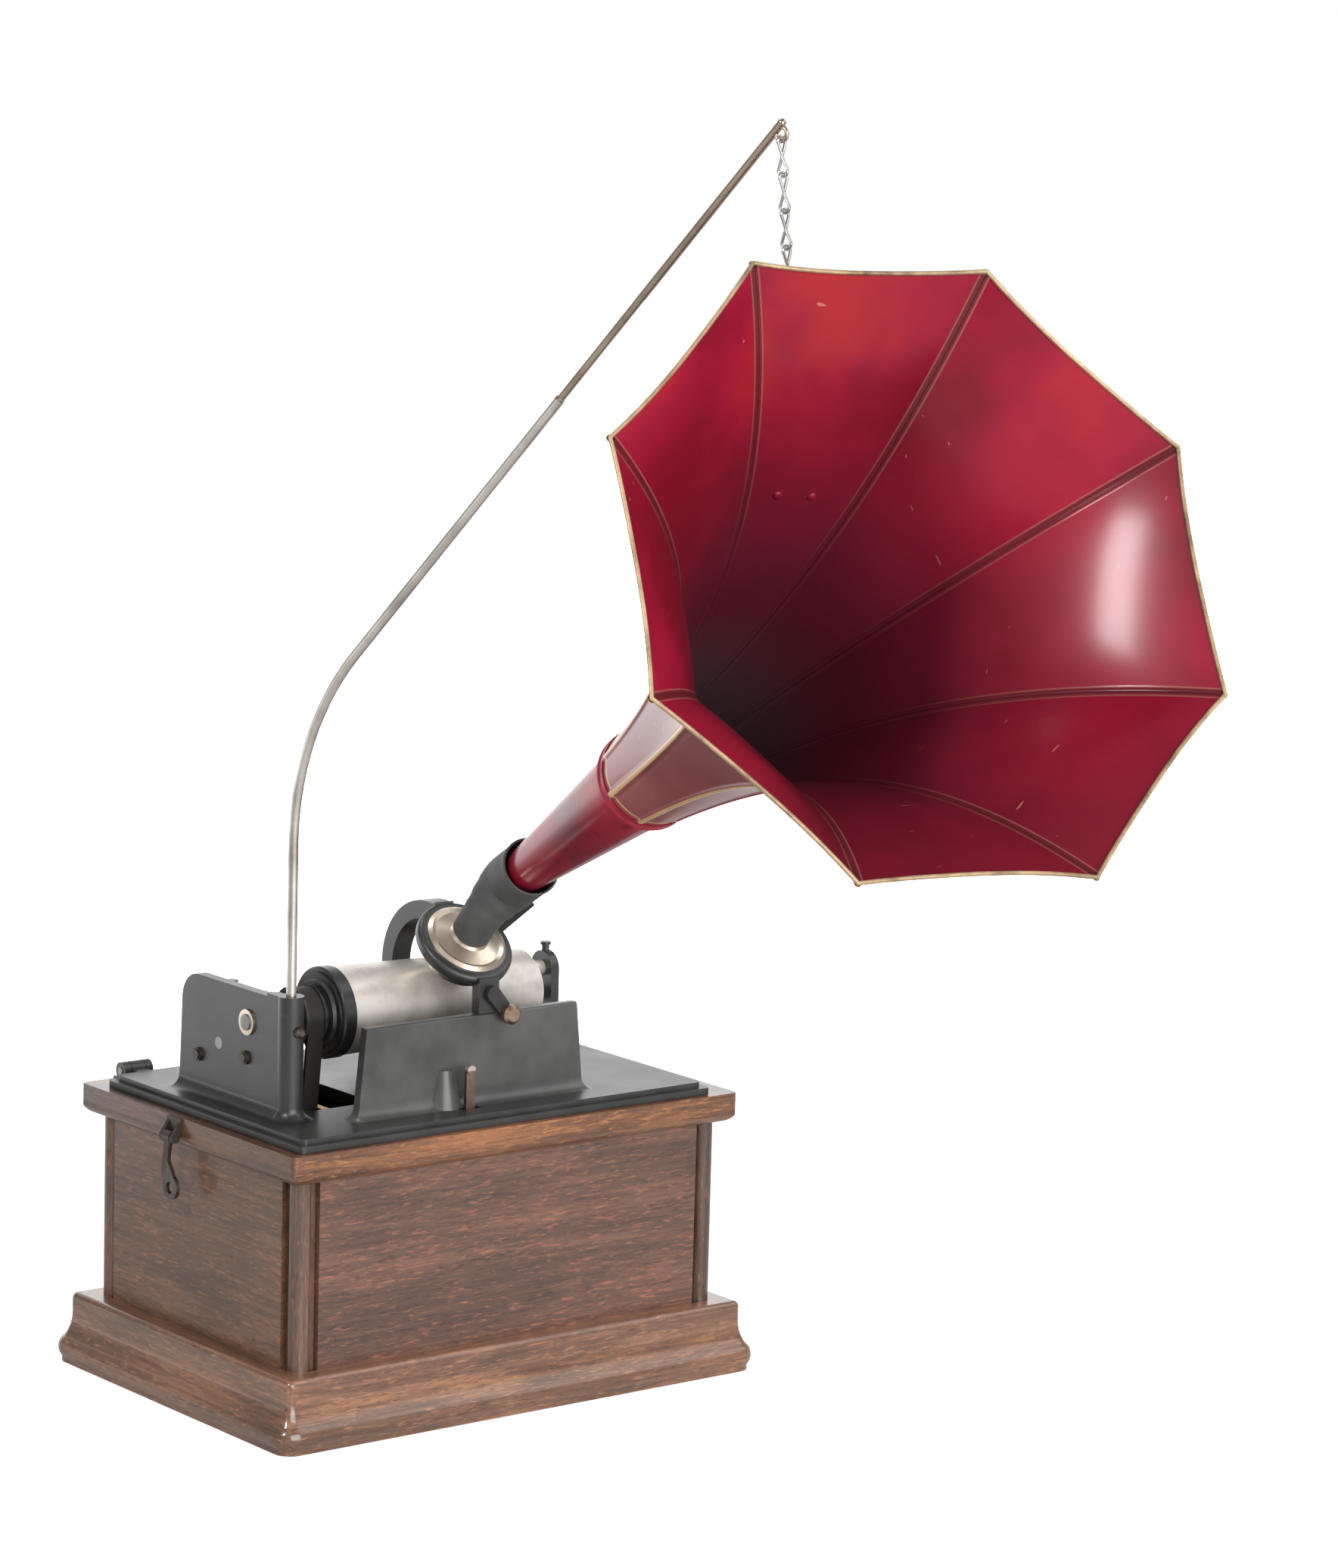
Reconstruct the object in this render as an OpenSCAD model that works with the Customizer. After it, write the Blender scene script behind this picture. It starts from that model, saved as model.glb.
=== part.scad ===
// Cylinder phonograph: oak case, hinged bedplate with a spring motor, mandrel, reproducer, crane and
// panelled horn.
// The origin is the middle of the case's footprint on the table, +X to the right of the front, +Y to the
// rear.

/* [Case] */
// Width of the oak case between its side faces
case_width = 256; // [250:1:270]
// Depth of the oak case between its front and rear faces
case_depth = 177; // [174:1:190]
// Height of the rim's top above the table
case_height = 144.3; // [142:0.1:160]
// Thickness of the four boards
board = 10; // [8:0.5:11]
// Thickness of the floor board
floor_thickness = 8; // [6:0.5:10]
// Radius of the turned bead on each corner post
bead_radius = 5.2; // [4:0.1:5.5]
// Width of the groove beside each bead
bead_groove = 2.6; // [1.5:0.1:3]
// Height of the plinth moulding
plinth_height = 35.5; // [34:0.5:40]
// How far the plinth's bullnose stands out from the boards
plinth_projection = 17.9; // [17:0.1:20]
// How far the plinth's ledge stands out from the boards
ledge_projection = 10.8; // [9:0.1:12]
// Radius of the plinth's bullnose
bullnose_radius = 7.2; // [6.5:0.1:8]
// Height of the top rim
rim_height = 15.6; // [14:0.1:18]
// How far the rim overhangs the boards
rim_overhang = 7.4; // [6:0.1:9]
// Gap left for glue between fitted wooden pieces
glue_gap = 0.1; // [0.05:0.01:0.15]

/* [Bedplate] */
// Thickness of the bedplate
bed_thickness = 6; // [5:0.1:8]
// Width of the step round the bedplate's top edge
bed_step = 3.4; // [2.5:0.1:5]
// Rim left bare beside the bedplate on the left
bare_left = 6.6; // [5:0.1:8]
// Rim left bare beside the bedplate on the right
bare_right = 14.6; // [12:0.1:15]
// Rim left bare in front of the bedplate
bare_front = 4; // [3:0.1:5]
// Rim left bare behind the bedplate, where the hinges sit
bare_rear = 14; // [13.8:0.1:16]
// Radius of the hinge knuckles
knuckle_radius = 4.5; // [4:0.1:4.8]
// Radius of the hinge pins
hinge_pin_radius = 2; // [1.6:0.1:2.5]
// Distance of each hinge from the bedplate's side edge
hinge_inset = 20; // [11:0.5:22]

/* [Walls on the bedplate] */
// Distance of the side wall's outer face from the bedplate's left edge
side_wall_inset = 16.8; // [16:0.1:18]
// Thickness of the side wall
side_wall_thickness = 6; // [5:0.1:7]
// Height of the side wall above the bedplate
side_wall_height = 59.5; // [58:0.5:66]
// Distance of the side wall's rear edge behind the mandrel's axis
side_wall_rear = 61; // [58:0.5:64]
// Distance of the front wall's face before the mandrel's axis
front_wall_offset = 48.5; // [48:0.1:49.5]
// Thickness of the front wall
front_wall_thickness = 5; // [4:0.1:6]
// Height of the front wall's straight edge above the bedplate
front_wall_height = 44.7; // [43:0.1:45.5]
// Length of the front wall
front_wall_length = 135; // [126:1:138]
// Radius of the cast fillets at the foot of the walls
fillet = 6; // [4:0.5:6]
// Radius of the crane's socket post
post_radius = 6.4; // [6:0.1:8]

/* [Mandrel and drive] */
// Height of the mandrel's axis above the bedplate
axis_height = 43.5; // [43:0.1:46]
// Distance of the mandrel's axis behind the bedplate's front edge
axis_setback = 72.4; // [71.5:0.1:74]
// Length of the mandrel
mandrel_length = 118; // [114:1:122]
// Radius of the mandrel at its large end
mandrel_radius = 22.3; // [21:0.1:23]
// Radius of the mandrel at its small end
mandrel_tip_radius = 19.5; // [18:0.1:21]
// Wall of the mandrel's shell
mandrel_wall = 3; // [2:0.1:4]
// Radius of the black flange at the mandrel's large end
flange_radius = 23; // [22.5:0.1:25]
// Thickness of that flange
flange_thickness = 7; // [5:0.5:8]
// Radius of the mandrel's shaft
shaft_radius = 4; // [3:0.1:5]
// Radius of the mandrel's belt pulley
mandrel_pulley_radius = 12; // [11:0.1:13]
// Radius of the motor's belt pulley
drive_pulley_radius = 15; // [14:0.1:16]
// Width of the two belt pulleys
pulley_width = 12; // [11:0.5:13]
// Width of the belt
belt_width = 9; // [7:0.5:9.5]
// Thickness of the belt
belt_thickness = 1.8; // [1.2:0.1:2]
// Thickness of the gears
gear_thickness = 5; // [4:0.1:6]
// Radius of the back rod that carries the carriage
back_rod_radius = 4; // [3.5:0.1:4.5]
// Radius of the feed screw
feed_screw_radius = 4; // [3.5:0.1:4.5]

/* [Reproducer] */
// Distance of the reproducer's ring from the mandrel's axis
ring_distance = 42; // [41:0.1:44]
// Lean of the ring towards the front, in degrees
ring_lean = 40; // [38:0.5:42]
// Outer radius of the ring
ring_radius = 25.4; // [25:0.1:27]
// Radius of the reproducer that drops into the ring
reproducer_radius = 21; // [19.5:0.1:21.2]
// Thickness of the ring
ring_thickness = 7; // [6:0.1:8]
// Wall of the rubber connector
rubber_wall = 1.5; // [1.2:0.1:2]

/* [Horn] */
// Length of the horn from the connector's mouth to the bell's edge
horn_length = 415.6; // [395:0.1:430]
// Length of the round cone up to its collar
cone_length = 140; // [130:0.1:150]
// Radius of the cone at the connector's mouth
cone_radius = 11.5; // [10.5:0.1:12]
// Radius of the cone at its collar
collar_radius = 22.4; // [21:0.1:24]
// Radius of the bell at its corners
bell_radius = 149.3; // [140:0.1:156]
// How strongly the bell flares
flare = 2.3; // [2:0.05:2.6]
// Thickness of the bell's sheet
sheet = 1.2; // [0.8:0.1:1.6]
// Slope of the horn above the horizontal, in degrees
horn_slope = 27.4; // [25:0.1:30]
// Turn of the horn to the left of straight ahead, in degrees
horn_turn = 10.7; // [8:0.1:13]
// Roll of the bell about its own axis, in degrees
horn_roll = -2.3; // [-3:0.1:0]

/* [Crane and chain] */
// Radius of the crane's lower tube
crane_radius = 2.5; // [2.2:0.1:3]
// Radius of the crane's upper rod
crane_rod_radius = 1.9; // [1.5:0.1:2]
// Height of the straight riser above the bedplate
crane_riser = 135.3; // [130:0.1:142]
// Radius of the crane's bend
crane_bend = 140; // [130:1:150]
// Slope of the crane's arm above the horizontal, in degrees
crane_slope = 46.5; // [45:0.1:48]
// Length of the lower tube beyond its bend
crane_tube_length = 181; // [172:1:190]
// Length of the upper rod that shows
crane_rod_length = 179.5; // [170:0.5:186]
// Turn of the crane to the right of straight ahead, in degrees
crane_turn = 12.3; // [11:0.1:14]
// Number of links in the chain
chain_links = 8; // [7:1:9]
// Radius of the chain's wire
chain_wire = 0.7; // [0.5:0.05:0.8]

/* [Hidden] */
$fn = 64;

// Clearances shared by every mate
running_gap = 0.05;
body_gap = 0.3;
seat_gap = 0.2;

// Case
half_w = case_width / 2;
half_d = case_depth / 2;
inner_x = half_w - board;
inner_y = half_d - board;
post_side = 2 * bead_radius + bead_groove;
rim_z = case_height - rim_height;
board_height = rim_z - floor_thickness;
rim_x = half_w + rim_overhang;
rim_y = half_d + rim_overhang;

// Bedplate and hinges
bed_z = case_height + seat_gap;
bed_top = bed_z + bed_thickness;
bed_x0 = bare_left - rim_x;
bed_x1 = rim_x - bare_right;
bed_y0 = bare_front - rim_y;
bed_y1 = rim_y - bare_rear;
hinge_z = case_height + knuckle_radius + 0.7;
hinge_y = bed_y1 + knuckle_radius + 1.5;
hinge_lug = 8;
hinge_ear = 4;
hinge_leaf = 1.6;
hinge_xs = [bed_x0 + hinge_inset, bed_x1 - hinge_inset];

// Mandrel, gear train and walls
axis_y = bed_y0 + axis_setback;
axis_z = bed_top + axis_height;
wall_x0 = bed_x0 + side_wall_inset;
wall_x1 = wall_x0 + side_wall_thickness;
wall_top = bed_top + side_wall_height;
wall_rear_y = axis_y + side_wall_rear;
crane_x = wall_x1;
crane_y = axis_y - 28.5;
post_top = wall_top + 1.5;
front_y = axis_y - front_wall_offset;
front_top = bed_top + front_wall_height;
gear_gap = 2;
gear_x = wall_x1 + gear_gap;
bearing_x = gear_x + gear_thickness + gear_gap;
bearing_thickness = 6;
pulley_x = bearing_x + bearing_thickness + 4;
flange_x = pulley_x + pulley_width + 5;
mandrel_x = flange_x + flange_thickness;
mandrel_x1 = mandrel_x + mandrel_length;
front_x0 = mandrel_x - 15.6;
front_x1 = front_x0 + front_wall_length;
end_lean = 3.8;
rear_post_thickness = 5;
rear_left_x = pulley_x - 1;
rear_right_x = mandrel_x1 + 46;
rod_y = axis_y + 46.5;
rod_z = axis_z - 3;
feed_y = rod_y + 9;
feed_z = rod_z - 15;

// Gears: number of teeth, module and pressure angle
pressure = 25;
tooth_play = 0.07;
great_teeth = 48;
pinion_teeth = 12;
great_module = 1.6;
drive_teeth = 40;
drive_module = 1.2;
feed_teeth = 20;
idler_teeth = 26;
feed_module = 1.3;

// Motor axes, in Y and Z, hung from the bedplate
barrel = [20, bed_z - 69.5];
barrel_radius = 34;
great_reach = great_module * (great_teeth + pinion_teeth) / 2;
drive_bearing = 125.7;
drive = barrel + great_reach * [cos(drive_bearing), sin(drive_bearing)];
governor_reach = drive_module * (drive_teeth + pinion_teeth) / 2;
governor_bearing = 199;
governor = drive + governor_reach * [cos(governor_bearing), sin(governor_bearing)];
motor_x0 = flange_x + 4;
motor_length = 126;
motor_x1 = motor_x0 + motor_length;
motor_plate = 4;
drive_gear_x = motor_x0 + motor_plate + 22;
barrel_length = 46;
barrel_gap = 11;
great_x = drive_gear_x + gear_thickness + barrel_gap + barrel_length;
pillars = [[-44, bed_z - 11], [60, bed_z - 11], [60, bed_z - 96], [-20, bed_z - 92]];
pillar_radius = 4;

// Feed train in Y and Z
feed_reach = feed_module * (feed_teeth + idler_teeth) / 2;
mandrel_axis = [axis_y, axis_z];
feed_axis = [feed_y, feed_z];
feed_span = norm(feed_axis - mandrel_axis);
feed_bearing = atan2(feed_z - axis_z, feed_y - axis_y);
idler_bearing = feed_bearing - acos(feed_span / 2 / feed_reach);
idler = mandrel_axis + feed_reach * [cos(idler_bearing), sin(idler_bearing)];
idler_feed_bearing = atan2(feed_z - idler[1], feed_y - idler[0]);
idler_bore = 3;

// Reproducer and carriage
ring_x = -2.4;
ring_normal = [0, -sin(ring_lean), cos(ring_lean)];
ring_centre = [ring_x, axis_y, axis_z] + ring_distance * ring_normal;
bush_length = 44;
bush_radius = back_rod_radius + 2.2;
hub_radius = bush_radius + 3.4;
hub_length = 34;
arch_centre = [axis_y - 1.5, axis_z + 13.5];
arch_outer = 37;
arch_band = 9;
arch_width = 11.2;
arch_x = ring_x - arch_width / 2;
lug_width = 12;
lug_depth = 6;
lever_pivot = [ring_x + 1, front_top + 10];
lever_y = front_y - 1.2;
lever_thickness = 2.6;
lever_reach = [9, -10.5];
lift_knob_radius = 5;

// Horn
neck_radius = 8.2;
neck_length = 11;
mouth_offset = [7.4, -44.3, 45.6];
mouth = ring_centre + mouth_offset;
horn_axis = [-cos(horn_slope) * sin(horn_turn), -cos(horn_slope) * cos(horn_turn), sin(horn_slope)];
cone_insert = 16;
cone_sheet = 0.9;
cone_taper = (collar_radius - cone_radius) / cone_length;
collar_width = 6;
collar_height = 2.4;
bell_length = horn_length - cone_length;
bell_rim = 1.7;
rim_bow = 3;
panels = 8;
bell_rings = 12;
seam_radius = 1.5;
seam_fold = 0.8;
eye_setback = 86;
eye_radius = 6.8;
eye_wire = 1.2;
rubber_play = 1.4;

// Crane and chain
crane_top = bed_top + crane_riser;
bend_turn = 90 - crane_slope;
tip_eye_radius = 3;
tip_eye_wire = 1;
socket_depth = 52;
hook_wire = 1.1;

// Small controls
start_x = ring_x - 15.2;
start_y = front_y - 6.6;
start_pivot_z = bed_z - 4;
clasp_y = 8;
clasp_z = case_height - 9.8;
crank_gap = 1.5;
crank_radius = 5;
crank_throw = 55;
crank_clear = 27;
grip_length = 34;
grip_radius = 8;

oak = "#7a4a34";
rim_oak = "#8a5238";
japan = "#26272a";
nickel = "#c9c4bb";
steel = "#8d9095";
brass = "#b08d4a";
ruby = "#8e1626";
gold = "#b08a5c";
rubber = "#5b5d5b";

// Cylinder along X from x0 to x1 about the point [y, z]
module rod_x(x0, x1, p, r) {
  translate([x0, p[0], p[1]]) rotate([0, 90, 0]) cylinder(h = x1 - x0, r = r);
}

// Flat outline drawn in Y and Z, extruded along X from x0 to x1
module plate_x(x0, x1) {
  translate([x0, 0, 0]) rotate([90, 0, 90]) linear_extrude(x1 - x0) children();
}

// Half profile of radius and X, turned about an axis along X through [y, z]
module turned_x(p) {
  translate([0, p[0], p[1]]) rotate([0, 90, 0]) rotate_extrude() children();
}

// Rectangle with round corners, centred
module round_rect(w, d, r) {
  square([w - 2 * r, d], center = true);
  square([w, d - 2 * r], center = true);
  for (sx = [-1, 1], sy = [-1, 1]) translate([sx * (w / 2 - r), sy * (d / 2 - r)]) circle(r);
}

// Mouldings round the case: a profile of projection and height on each side
module moulding_section(half, height) {
  for (s = [0, 1]) mirror([s, 0]) {
    square([half, height]);
    translate([half, 0]) children();
  }
}

module long_runs(height, depth) {
  rotate([90, 0, 0]) linear_extrude(depth, center = true) moulding_section(half_w, height) children();
}

module cross_runs(height, width) {
  rotate([90, 0, 90]) linear_extrude(width, center = true) moulding_section(half_d, height) children();
}

// Mitred corners, rounded off by an upright block
module mitred_moulding(height, projection, corner) {
  wide = 2 * projection + 0.1;
  intersection() {
    long_runs(height, 2 * case_depth) children();
    cross_runs(height, 2 * case_width) children();
    translate([0, 0, -1]) linear_extrude(height + 2) round_rect(case_width + wide, case_depth + wide, corner);
  }
}

// Corners turned about an axis that stands outside the boards by the given distance
module turned_moulding(height, projection, axis) {
  long_runs(height, case_depth + 2 * axis) children();
  cross_runs(height, case_width + 2 * axis) children();
  for (sx = [0, 1], sy = [0, 1]) mirror([sx, 0, 0]) mirror([0, sy, 0])
      translate([half_w + axis, half_d + axis, 0])
    rotate_extrude(angle = 90) intersection() {
      translate([-axis, 0]) children();
      square([projection, height]);
    }
}

// Plinth section: rounded ledge, a cove and a bullnose that it runs into
plinth_face = 10;
corner_round = 10.6;

module plinth_profile() {
  ledge_round = 3;
  cove_z = plinth_height - plinth_face;
  nose = [plinth_projection - bullnose_radius, bullnose_radius + 0.3];
  step = ledge_projection - nose[0];
  tangent = (pow(cove_z - nose[1], 2) + step * step - pow(bullnose_radius,
      2)) / (2 * (bullnose_radius - step));
  cove = 1.06 * tangent;
  meet = nose[0] + bullnose_radius * (tangent + step) / (tangent + bullnose_radius);
  square([ledge_projection - ledge_round, plinth_height]);
  square([ledge_projection, plinth_height - ledge_round]);
  translate([ledge_projection - ledge_round, plinth_height - ledge_round]) circle(ledge_round);
  square([nose[0] + 3.5, bullnose_radius]);
  translate(nose) circle(bullnose_radius);
  difference() {
    square([meet, cove_z]);
    translate([ledge_projection + cove, cove_z]) circle(cove);
  }
}

module base_moulding() {
  corner_axis = plinth_projection - corner_round;
  color(oak) difference() {
    turned_moulding(plinth_height, plinth_projection, corner_axis) plinth_profile();
    translate([0, 0, -1]) linear_extrude(plinth_height + 2)
      round_rect(case_width + 2 * glue_gap, case_depth + 2 * glue_gap, bead_radius + glue_gap);
  }
}

module floor_board() {
  color(oak) linear_extrude(floor_thickness) round_rect(case_width, case_depth, bead_radius);
}

// Board between two corner posts, standing on the floor board
module upright_board(length) {
  translate([-length / 2, 0, floor_thickness]) cube([length, board, board_height]);
}

module front_board() {
  color(oak) translate([0, -half_d, 0]) upright_board(case_width - 2 * post_side);
}

module rear_board() {
  color(oak) rotate(180) translate([0, -half_d, 0]) upright_board(case_width - 2 * post_side);
}

module left_board() {
  color(oak) rotate(-90) translate([0, -half_w, 0]) upright_board(case_depth - 2 * post_side);
}

module right_board() {
  color(oak) difference() {
    rotate(90) translate([0, -half_w, 0]) upright_board(case_depth - 2 * post_side);
    rod_x(inner_x - 1, half_w + 1, barrel, crank_radius + 4 + glue_gap);
  }
}

// Corner posts: a turned bead on the corner, with a groove between it and each board
module corner_posts() {
  groove_depth = 2;
  color(oak) for (sx = [0, 1], sy = [0, 1]) mirror([sx, 0]) mirror([0, sy])
    translate([-half_w, -half_d, floor_thickness]) linear_extrude(board_height) {
      translate([bead_radius, bead_radius]) circle(bead_radius);
      translate([groove_depth + 1.5, groove_depth + 1.5]) square(post_side - groove_depth - 1.5);
    }
}

module rim_profile() {
  translate([0, rim_overhang]) square([rim_overhang, rim_height - rim_overhang]);
  intersection() {
    translate([0, rim_overhang]) circle(rim_overhang);
    square(2 * rim_overhang);
  }
}

module top_rim() {
  color(rim_oak) translate([0, 0, rim_z]) difference() {
    mitred_moulding(rim_height, rim_overhang, 3) rim_profile();
    translate([0, 0, -1]) linear_extrude(rim_height + 2) square([2 * inner_x, 2 * inner_y], center = true);
  }
}

// Rear hinges: a leaf screwed to the rim with two ears, and a lug on the bedplate between them
module hinge_leaves() {
  ear_x = hinge_lug / 2 + body_gap;
  leaf_y = hinge_y - knuckle_radius + 1;
  color(japan) for (x = hinge_xs) difference() {
    union() {
      translate([x - ear_x - hinge_ear, leaf_y, case_height])
        cube([2 * (ear_x + hinge_ear), rim_y - 1 - leaf_y, hinge_leaf]);
      for (s = [-1, 1]) plate_x(x + s * (ear_x + hinge_ear / 2) - hinge_ear / 2, x +
          s * (ear_x + hinge_ear / 2) + hinge_ear / 2) {
        translate([hinge_y, hinge_z]) circle(knuckle_radius);
        translate([hinge_y - knuckle_radius + 1, case_height])
            square([2 * knuckle_radius - 2, hinge_z - case_height]);
      }
    }
    rod_x(x - 20, x + 20, [hinge_y, hinge_z], hinge_pin_radius);
    rod_x(x - ear_x, x + ear_x, [hinge_y, hinge_z], knuckle_radius + body_gap);
  }
}

module hinge_pins() {
  pin_half = hinge_lug / 2 + body_gap + hinge_ear + 0.5;
  color(steel) for (x = hinge_xs) rod_x(x - pin_half, x + pin_half, [hinge_y, hinge_z], hinge_pin_radius);
}

// Cover clasps: a plate with two ears and a pin on the rim, and a hook that hangs from the pin
module clasp_mirror(side) {
  mirror([side == "right" ? 1 : 0, 0]) translate([-half_w, clasp_y, clasp_z]) children();
}

clasp_pin = [-rim_overhang - 3.4, 1.3];

module clasp_plates() {
  ear = 2;
  face = -rim_overhang;
  color(steel) for (side = ["left", "right"]) clasp_mirror(side) {
    translate([face - 1.2, -6, 2]) cube([1.2, 12, 7.4]);
    for (s = [-1, 1]) translate([0, s * 4.6 - ear / 2, 0]) rotate([-90, 0, 0]) linear_extrude(ear) {
      translate([clasp_pin[0], 0]) circle(2.6);
      polygon([[clasp_pin[0] - 1.8, -1.6], [face - 0.6, -8.5], [face - 0.6, -2.2], [clasp_pin[0] + 1.4, 2]]);
    }
    translate([clasp_pin[0], -6.1, 0]) rotate([-90, 0, 0]) cylinder(h = 12.2, r = clasp_pin[1]);
  }
}

module clasp_bail() {
  x = clasp_pin[0];
  eye = [-2, -25];
  difference() {
    union() {
      translate([x, -3.2, 0]) rotate([-90, 0, 0]) cylinder(h = 6.4, r = 3);
      plate_x(x - 1, x + 1) {
        polygon([[-2.4, 0], [2.4, 0], [4.4, -9], [6, -17], [4.2, -24], [-8, -24], [-4.4, -19], [0.4, -12],
            [-0.6, -6]]);
        translate(eye) circle(6.2);
      }
    }
    translate([x, -8, 0]) rotate([-90, 0, 0]) cylinder(h = 16, r = clasp_pin[1] + running_gap);
    plate_x(x - 2, x + 2) translate(eye + [0.2, -0.4]) circle(3);
  }
}

module clasp_left() {
  color(steel) clasp_mirror("left") clasp_bail();
}

module clasp_right() {
  color(steel) clasp_mirror("right") clasp_bail();
}

// Winding crank through a bush in the right board
module crank_bush() {
  bush = crank_radius + 4;
  color(nickel) difference() {
    union() {
      rod_x(inner_x, half_w, barrel, bush);
      rod_x(half_w, half_w + 2.5, barrel, bush + 5);
    }
    rod_x(inner_x - 1, half_w + 4, barrel, crank_radius + running_gap);
  }
}

crank_x = half_w + plinth_projection + crank_clear;

module crank_arm() {
  arm = 6;
  pin = barrel + [crank_throw, 0];
  color(nickel) {
    rod_x(inner_x - 0.5, crank_x + arm, barrel, crank_radius);
    rod_x(half_w + 2.5 + body_gap, half_w + 6, barrel, crank_radius + 3);
    plate_x(crank_x, crank_x + arm) {
      translate(barrel) circle(9);
      translate(pin) circle(6.5);
      polygon([barrel + [0, -8], barrel + [0, 8], pin + [0, 6], pin + [0, -6]]);
    }
    rod_x(crank_x + arm, crank_x + arm + grip_length + 1.5, pin, 3);
    rod_x(crank_x + arm + grip_length + 1.5, crank_x + arm + grip_length + 3.5, pin, 5);
  }
}

module crank_grip() {
  x0 = crank_x + 6 + 0.5;
  pin = barrel + [crank_throw, 0];
  waist = grip_radius - 2.2;
  color("#3a2a20") difference() {
    turned_x(pin) polygon([[0, x0], [waist, x0], [grip_radius, x0 + 10], [grip_radius, x0 + grip_length - 12],
                           [waist - 1, x0 + grip_length], [0, x0 + grip_length]]);
    rod_x(x0 - 1, x0 + grip_length + 1, pin, 3 + running_gap);
  }
}

// Bedplate: stepped plate with hinge lugs, a slot for the belt and one for the start lever
belt_slot = [pulley_x - 1, axis_y - 20, flange_x - pulley_x + 21, 50];

module bedplate() {
  w = bed_x1 - bed_x0;
  d = bed_y1 - bed_y0;
  step_z = bed_thickness * 0.55;
  corner = 3;
  color(japan) difference() {
    union() {
      translate([(bed_x0 + bed_x1) / 2, (bed_y0 + bed_y1) / 2, bed_z]) {
        linear_extrude(step_z) round_rect(w, d, corner);
        linear_extrude(bed_thickness) round_rect(w - 2 * bed_step, d - 2 * bed_step, corner);
      }
      for (x = hinge_xs) plate_x(x - hinge_lug / 2, x + hinge_lug / 2) {
        translate([hinge_y, hinge_z]) circle(knuckle_radius);
        translate([bed_y1 - 8, hinge_z - 2]) square([hinge_y - bed_y1 + 8, bed_top - hinge_z + 2]);
      }
    }
    for (x = hinge_xs) rod_x(x - 10, x + 10, [hinge_y, hinge_z], hinge_pin_radius + running_gap);
    translate([belt_slot[0], belt_slot[1], bed_z - 1]) cube([belt_slot[2], belt_slot[3], bed_thickness + 2]);
    translate([start_x - 6, start_y - 2, bed_z - 1]) cube([12, 4, bed_thickness + 2]);
  }
}

// Concave fillet along X, its corner at the origin, rising in +Z and spreading towards -Y
module cove_strip(length) {
  plate_x(0, length) difference() {
    translate([-fillet, 0]) square(fillet);
    translate([-fillet, fillet]) circle(fillet);
  }
}

// Concave fillet turned about +Z through a quarter, for an outer corner
module cove_corner() {
  rotate_extrude(angle = 90) difference() {
    square(fillet);
    translate([fillet, fillet]) circle(fillet);
  }
}

// Side wall with a rounded rear shoulder, a cast foot and the crane's socket post
module side_wall() {
  shoulder = 14;
  rear = wall_rear_y;
  color(japan) difference() {
    union() {
      plate_x(wall_x0, wall_x1) {
        translate([rear - 2 - shoulder, wall_top - shoulder]) circle(shoulder);
        polygon([[crane_y, bed_top], [rear, bed_top], [rear - 2, wall_top - shoulder],
                 [rear - 2 - shoulder, wall_top], [crane_y, wall_top]]);
      }
      translate([crane_x, crane_y, bed_top]) cylinder(h = post_top - bed_top, r = post_radius);
      translate([wall_x0, crane_y, wall_top]) cube([side_wall_thickness, 12, 1.5]);
      translate([wall_x0, rear, bed_top]) rotate(-90) cove_strip(rear - crane_y);
      translate([wall_x0, rear, bed_top]) rotate(90) cove_corner();
      translate([crane_x, crane_y, bed_top]) rotate_extrude() difference() {
        square([post_radius + fillet, fillet]);
        translate([post_radius + fillet, fillet]) circle(fillet);
      }
    }
    translate([crane_x, crane_y, post_top - socket_depth])
        cylinder(h = socket_depth + 1, r = crane_radius + running_gap);
    rod_x(wall_x0 - 1, wall_x1 + 1, mandrel_axis, shaft_radius + 2);
    rod_x(wall_x0 - 1, wall_x1 + 1, idler, idler_bore);
    for (p = wall_screw_points) rod_x(wall_x0 - 1, wall_x0 + 3, p, 1.6);
    translate([crane_x, crane_y - post_radius - 1, clamp_z]) rotate([-90, 0, 0]) cylinder(h = 3.5, r = 1.6);
  }
}

clamp_z = post_top - 17;
wall_screw_points = [[axis_y + 43, axis_z - 24], [axis_y + 1.5, axis_z - 18]];

// Screws and pins on the side wall, and the screw that clamps the crane in its post
module wall_screws() {
  color(steel) for (p = wall_screw_points) {
    rod_x(wall_x0 - 1.6, wall_x0, p, 3.4);
    rod_x(wall_x0 - 2.4, wall_x0 - 1.6, p, 2.4);
    rod_x(wall_x0, wall_x0 + 3, p, 1.6);
  }
  color(steel) translate([crane_x, crane_y - post_radius, clamp_z]) rotate([90, 0, 0]) {
    cylinder(h = 2.4, r = 2.7);
    translate([0, 0, 2.4]) cylinder(h = 1.4, r1 = 2.7, r2 = 1.4);
    translate([0, 0, -2.5]) cylinder(h = 2.5, r = 1.6);
  }
}

// Front wall: its top is the straight edge the carriage lug rides on; a half-round boss stands beside
// the lever
// Front wall without its foot: ends that lean in towards the top, and a rounded top edge
module front_panel() {
  top_round = 1.5;
  intersection() {
    plate_x(front_x0, front_x1) {
      translate([front_y, bed_top]) square([front_wall_thickness, front_wall_height - top_round]);
      translate([front_y + top_round, bed_top]) square([front_wall_thickness - top_round, front_wall_height]);
      translate([front_y + top_round, front_top - top_round]) circle(top_round);
    }
    translate([0, front_y + front_wall_thickness + 1, 0]) rotate([90, 0, 0])
      linear_extrude(front_wall_thickness + 2)
        polygon([[front_x0, bed_top], [front_x1, bed_top], [front_x1, bed_top + fillet + 0.5],
                 [front_x1 - end_lean, front_top], [front_x0 + end_lean, front_top],
                 [front_x0, bed_top + fillet + 0.5]]);
  }
}

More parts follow.
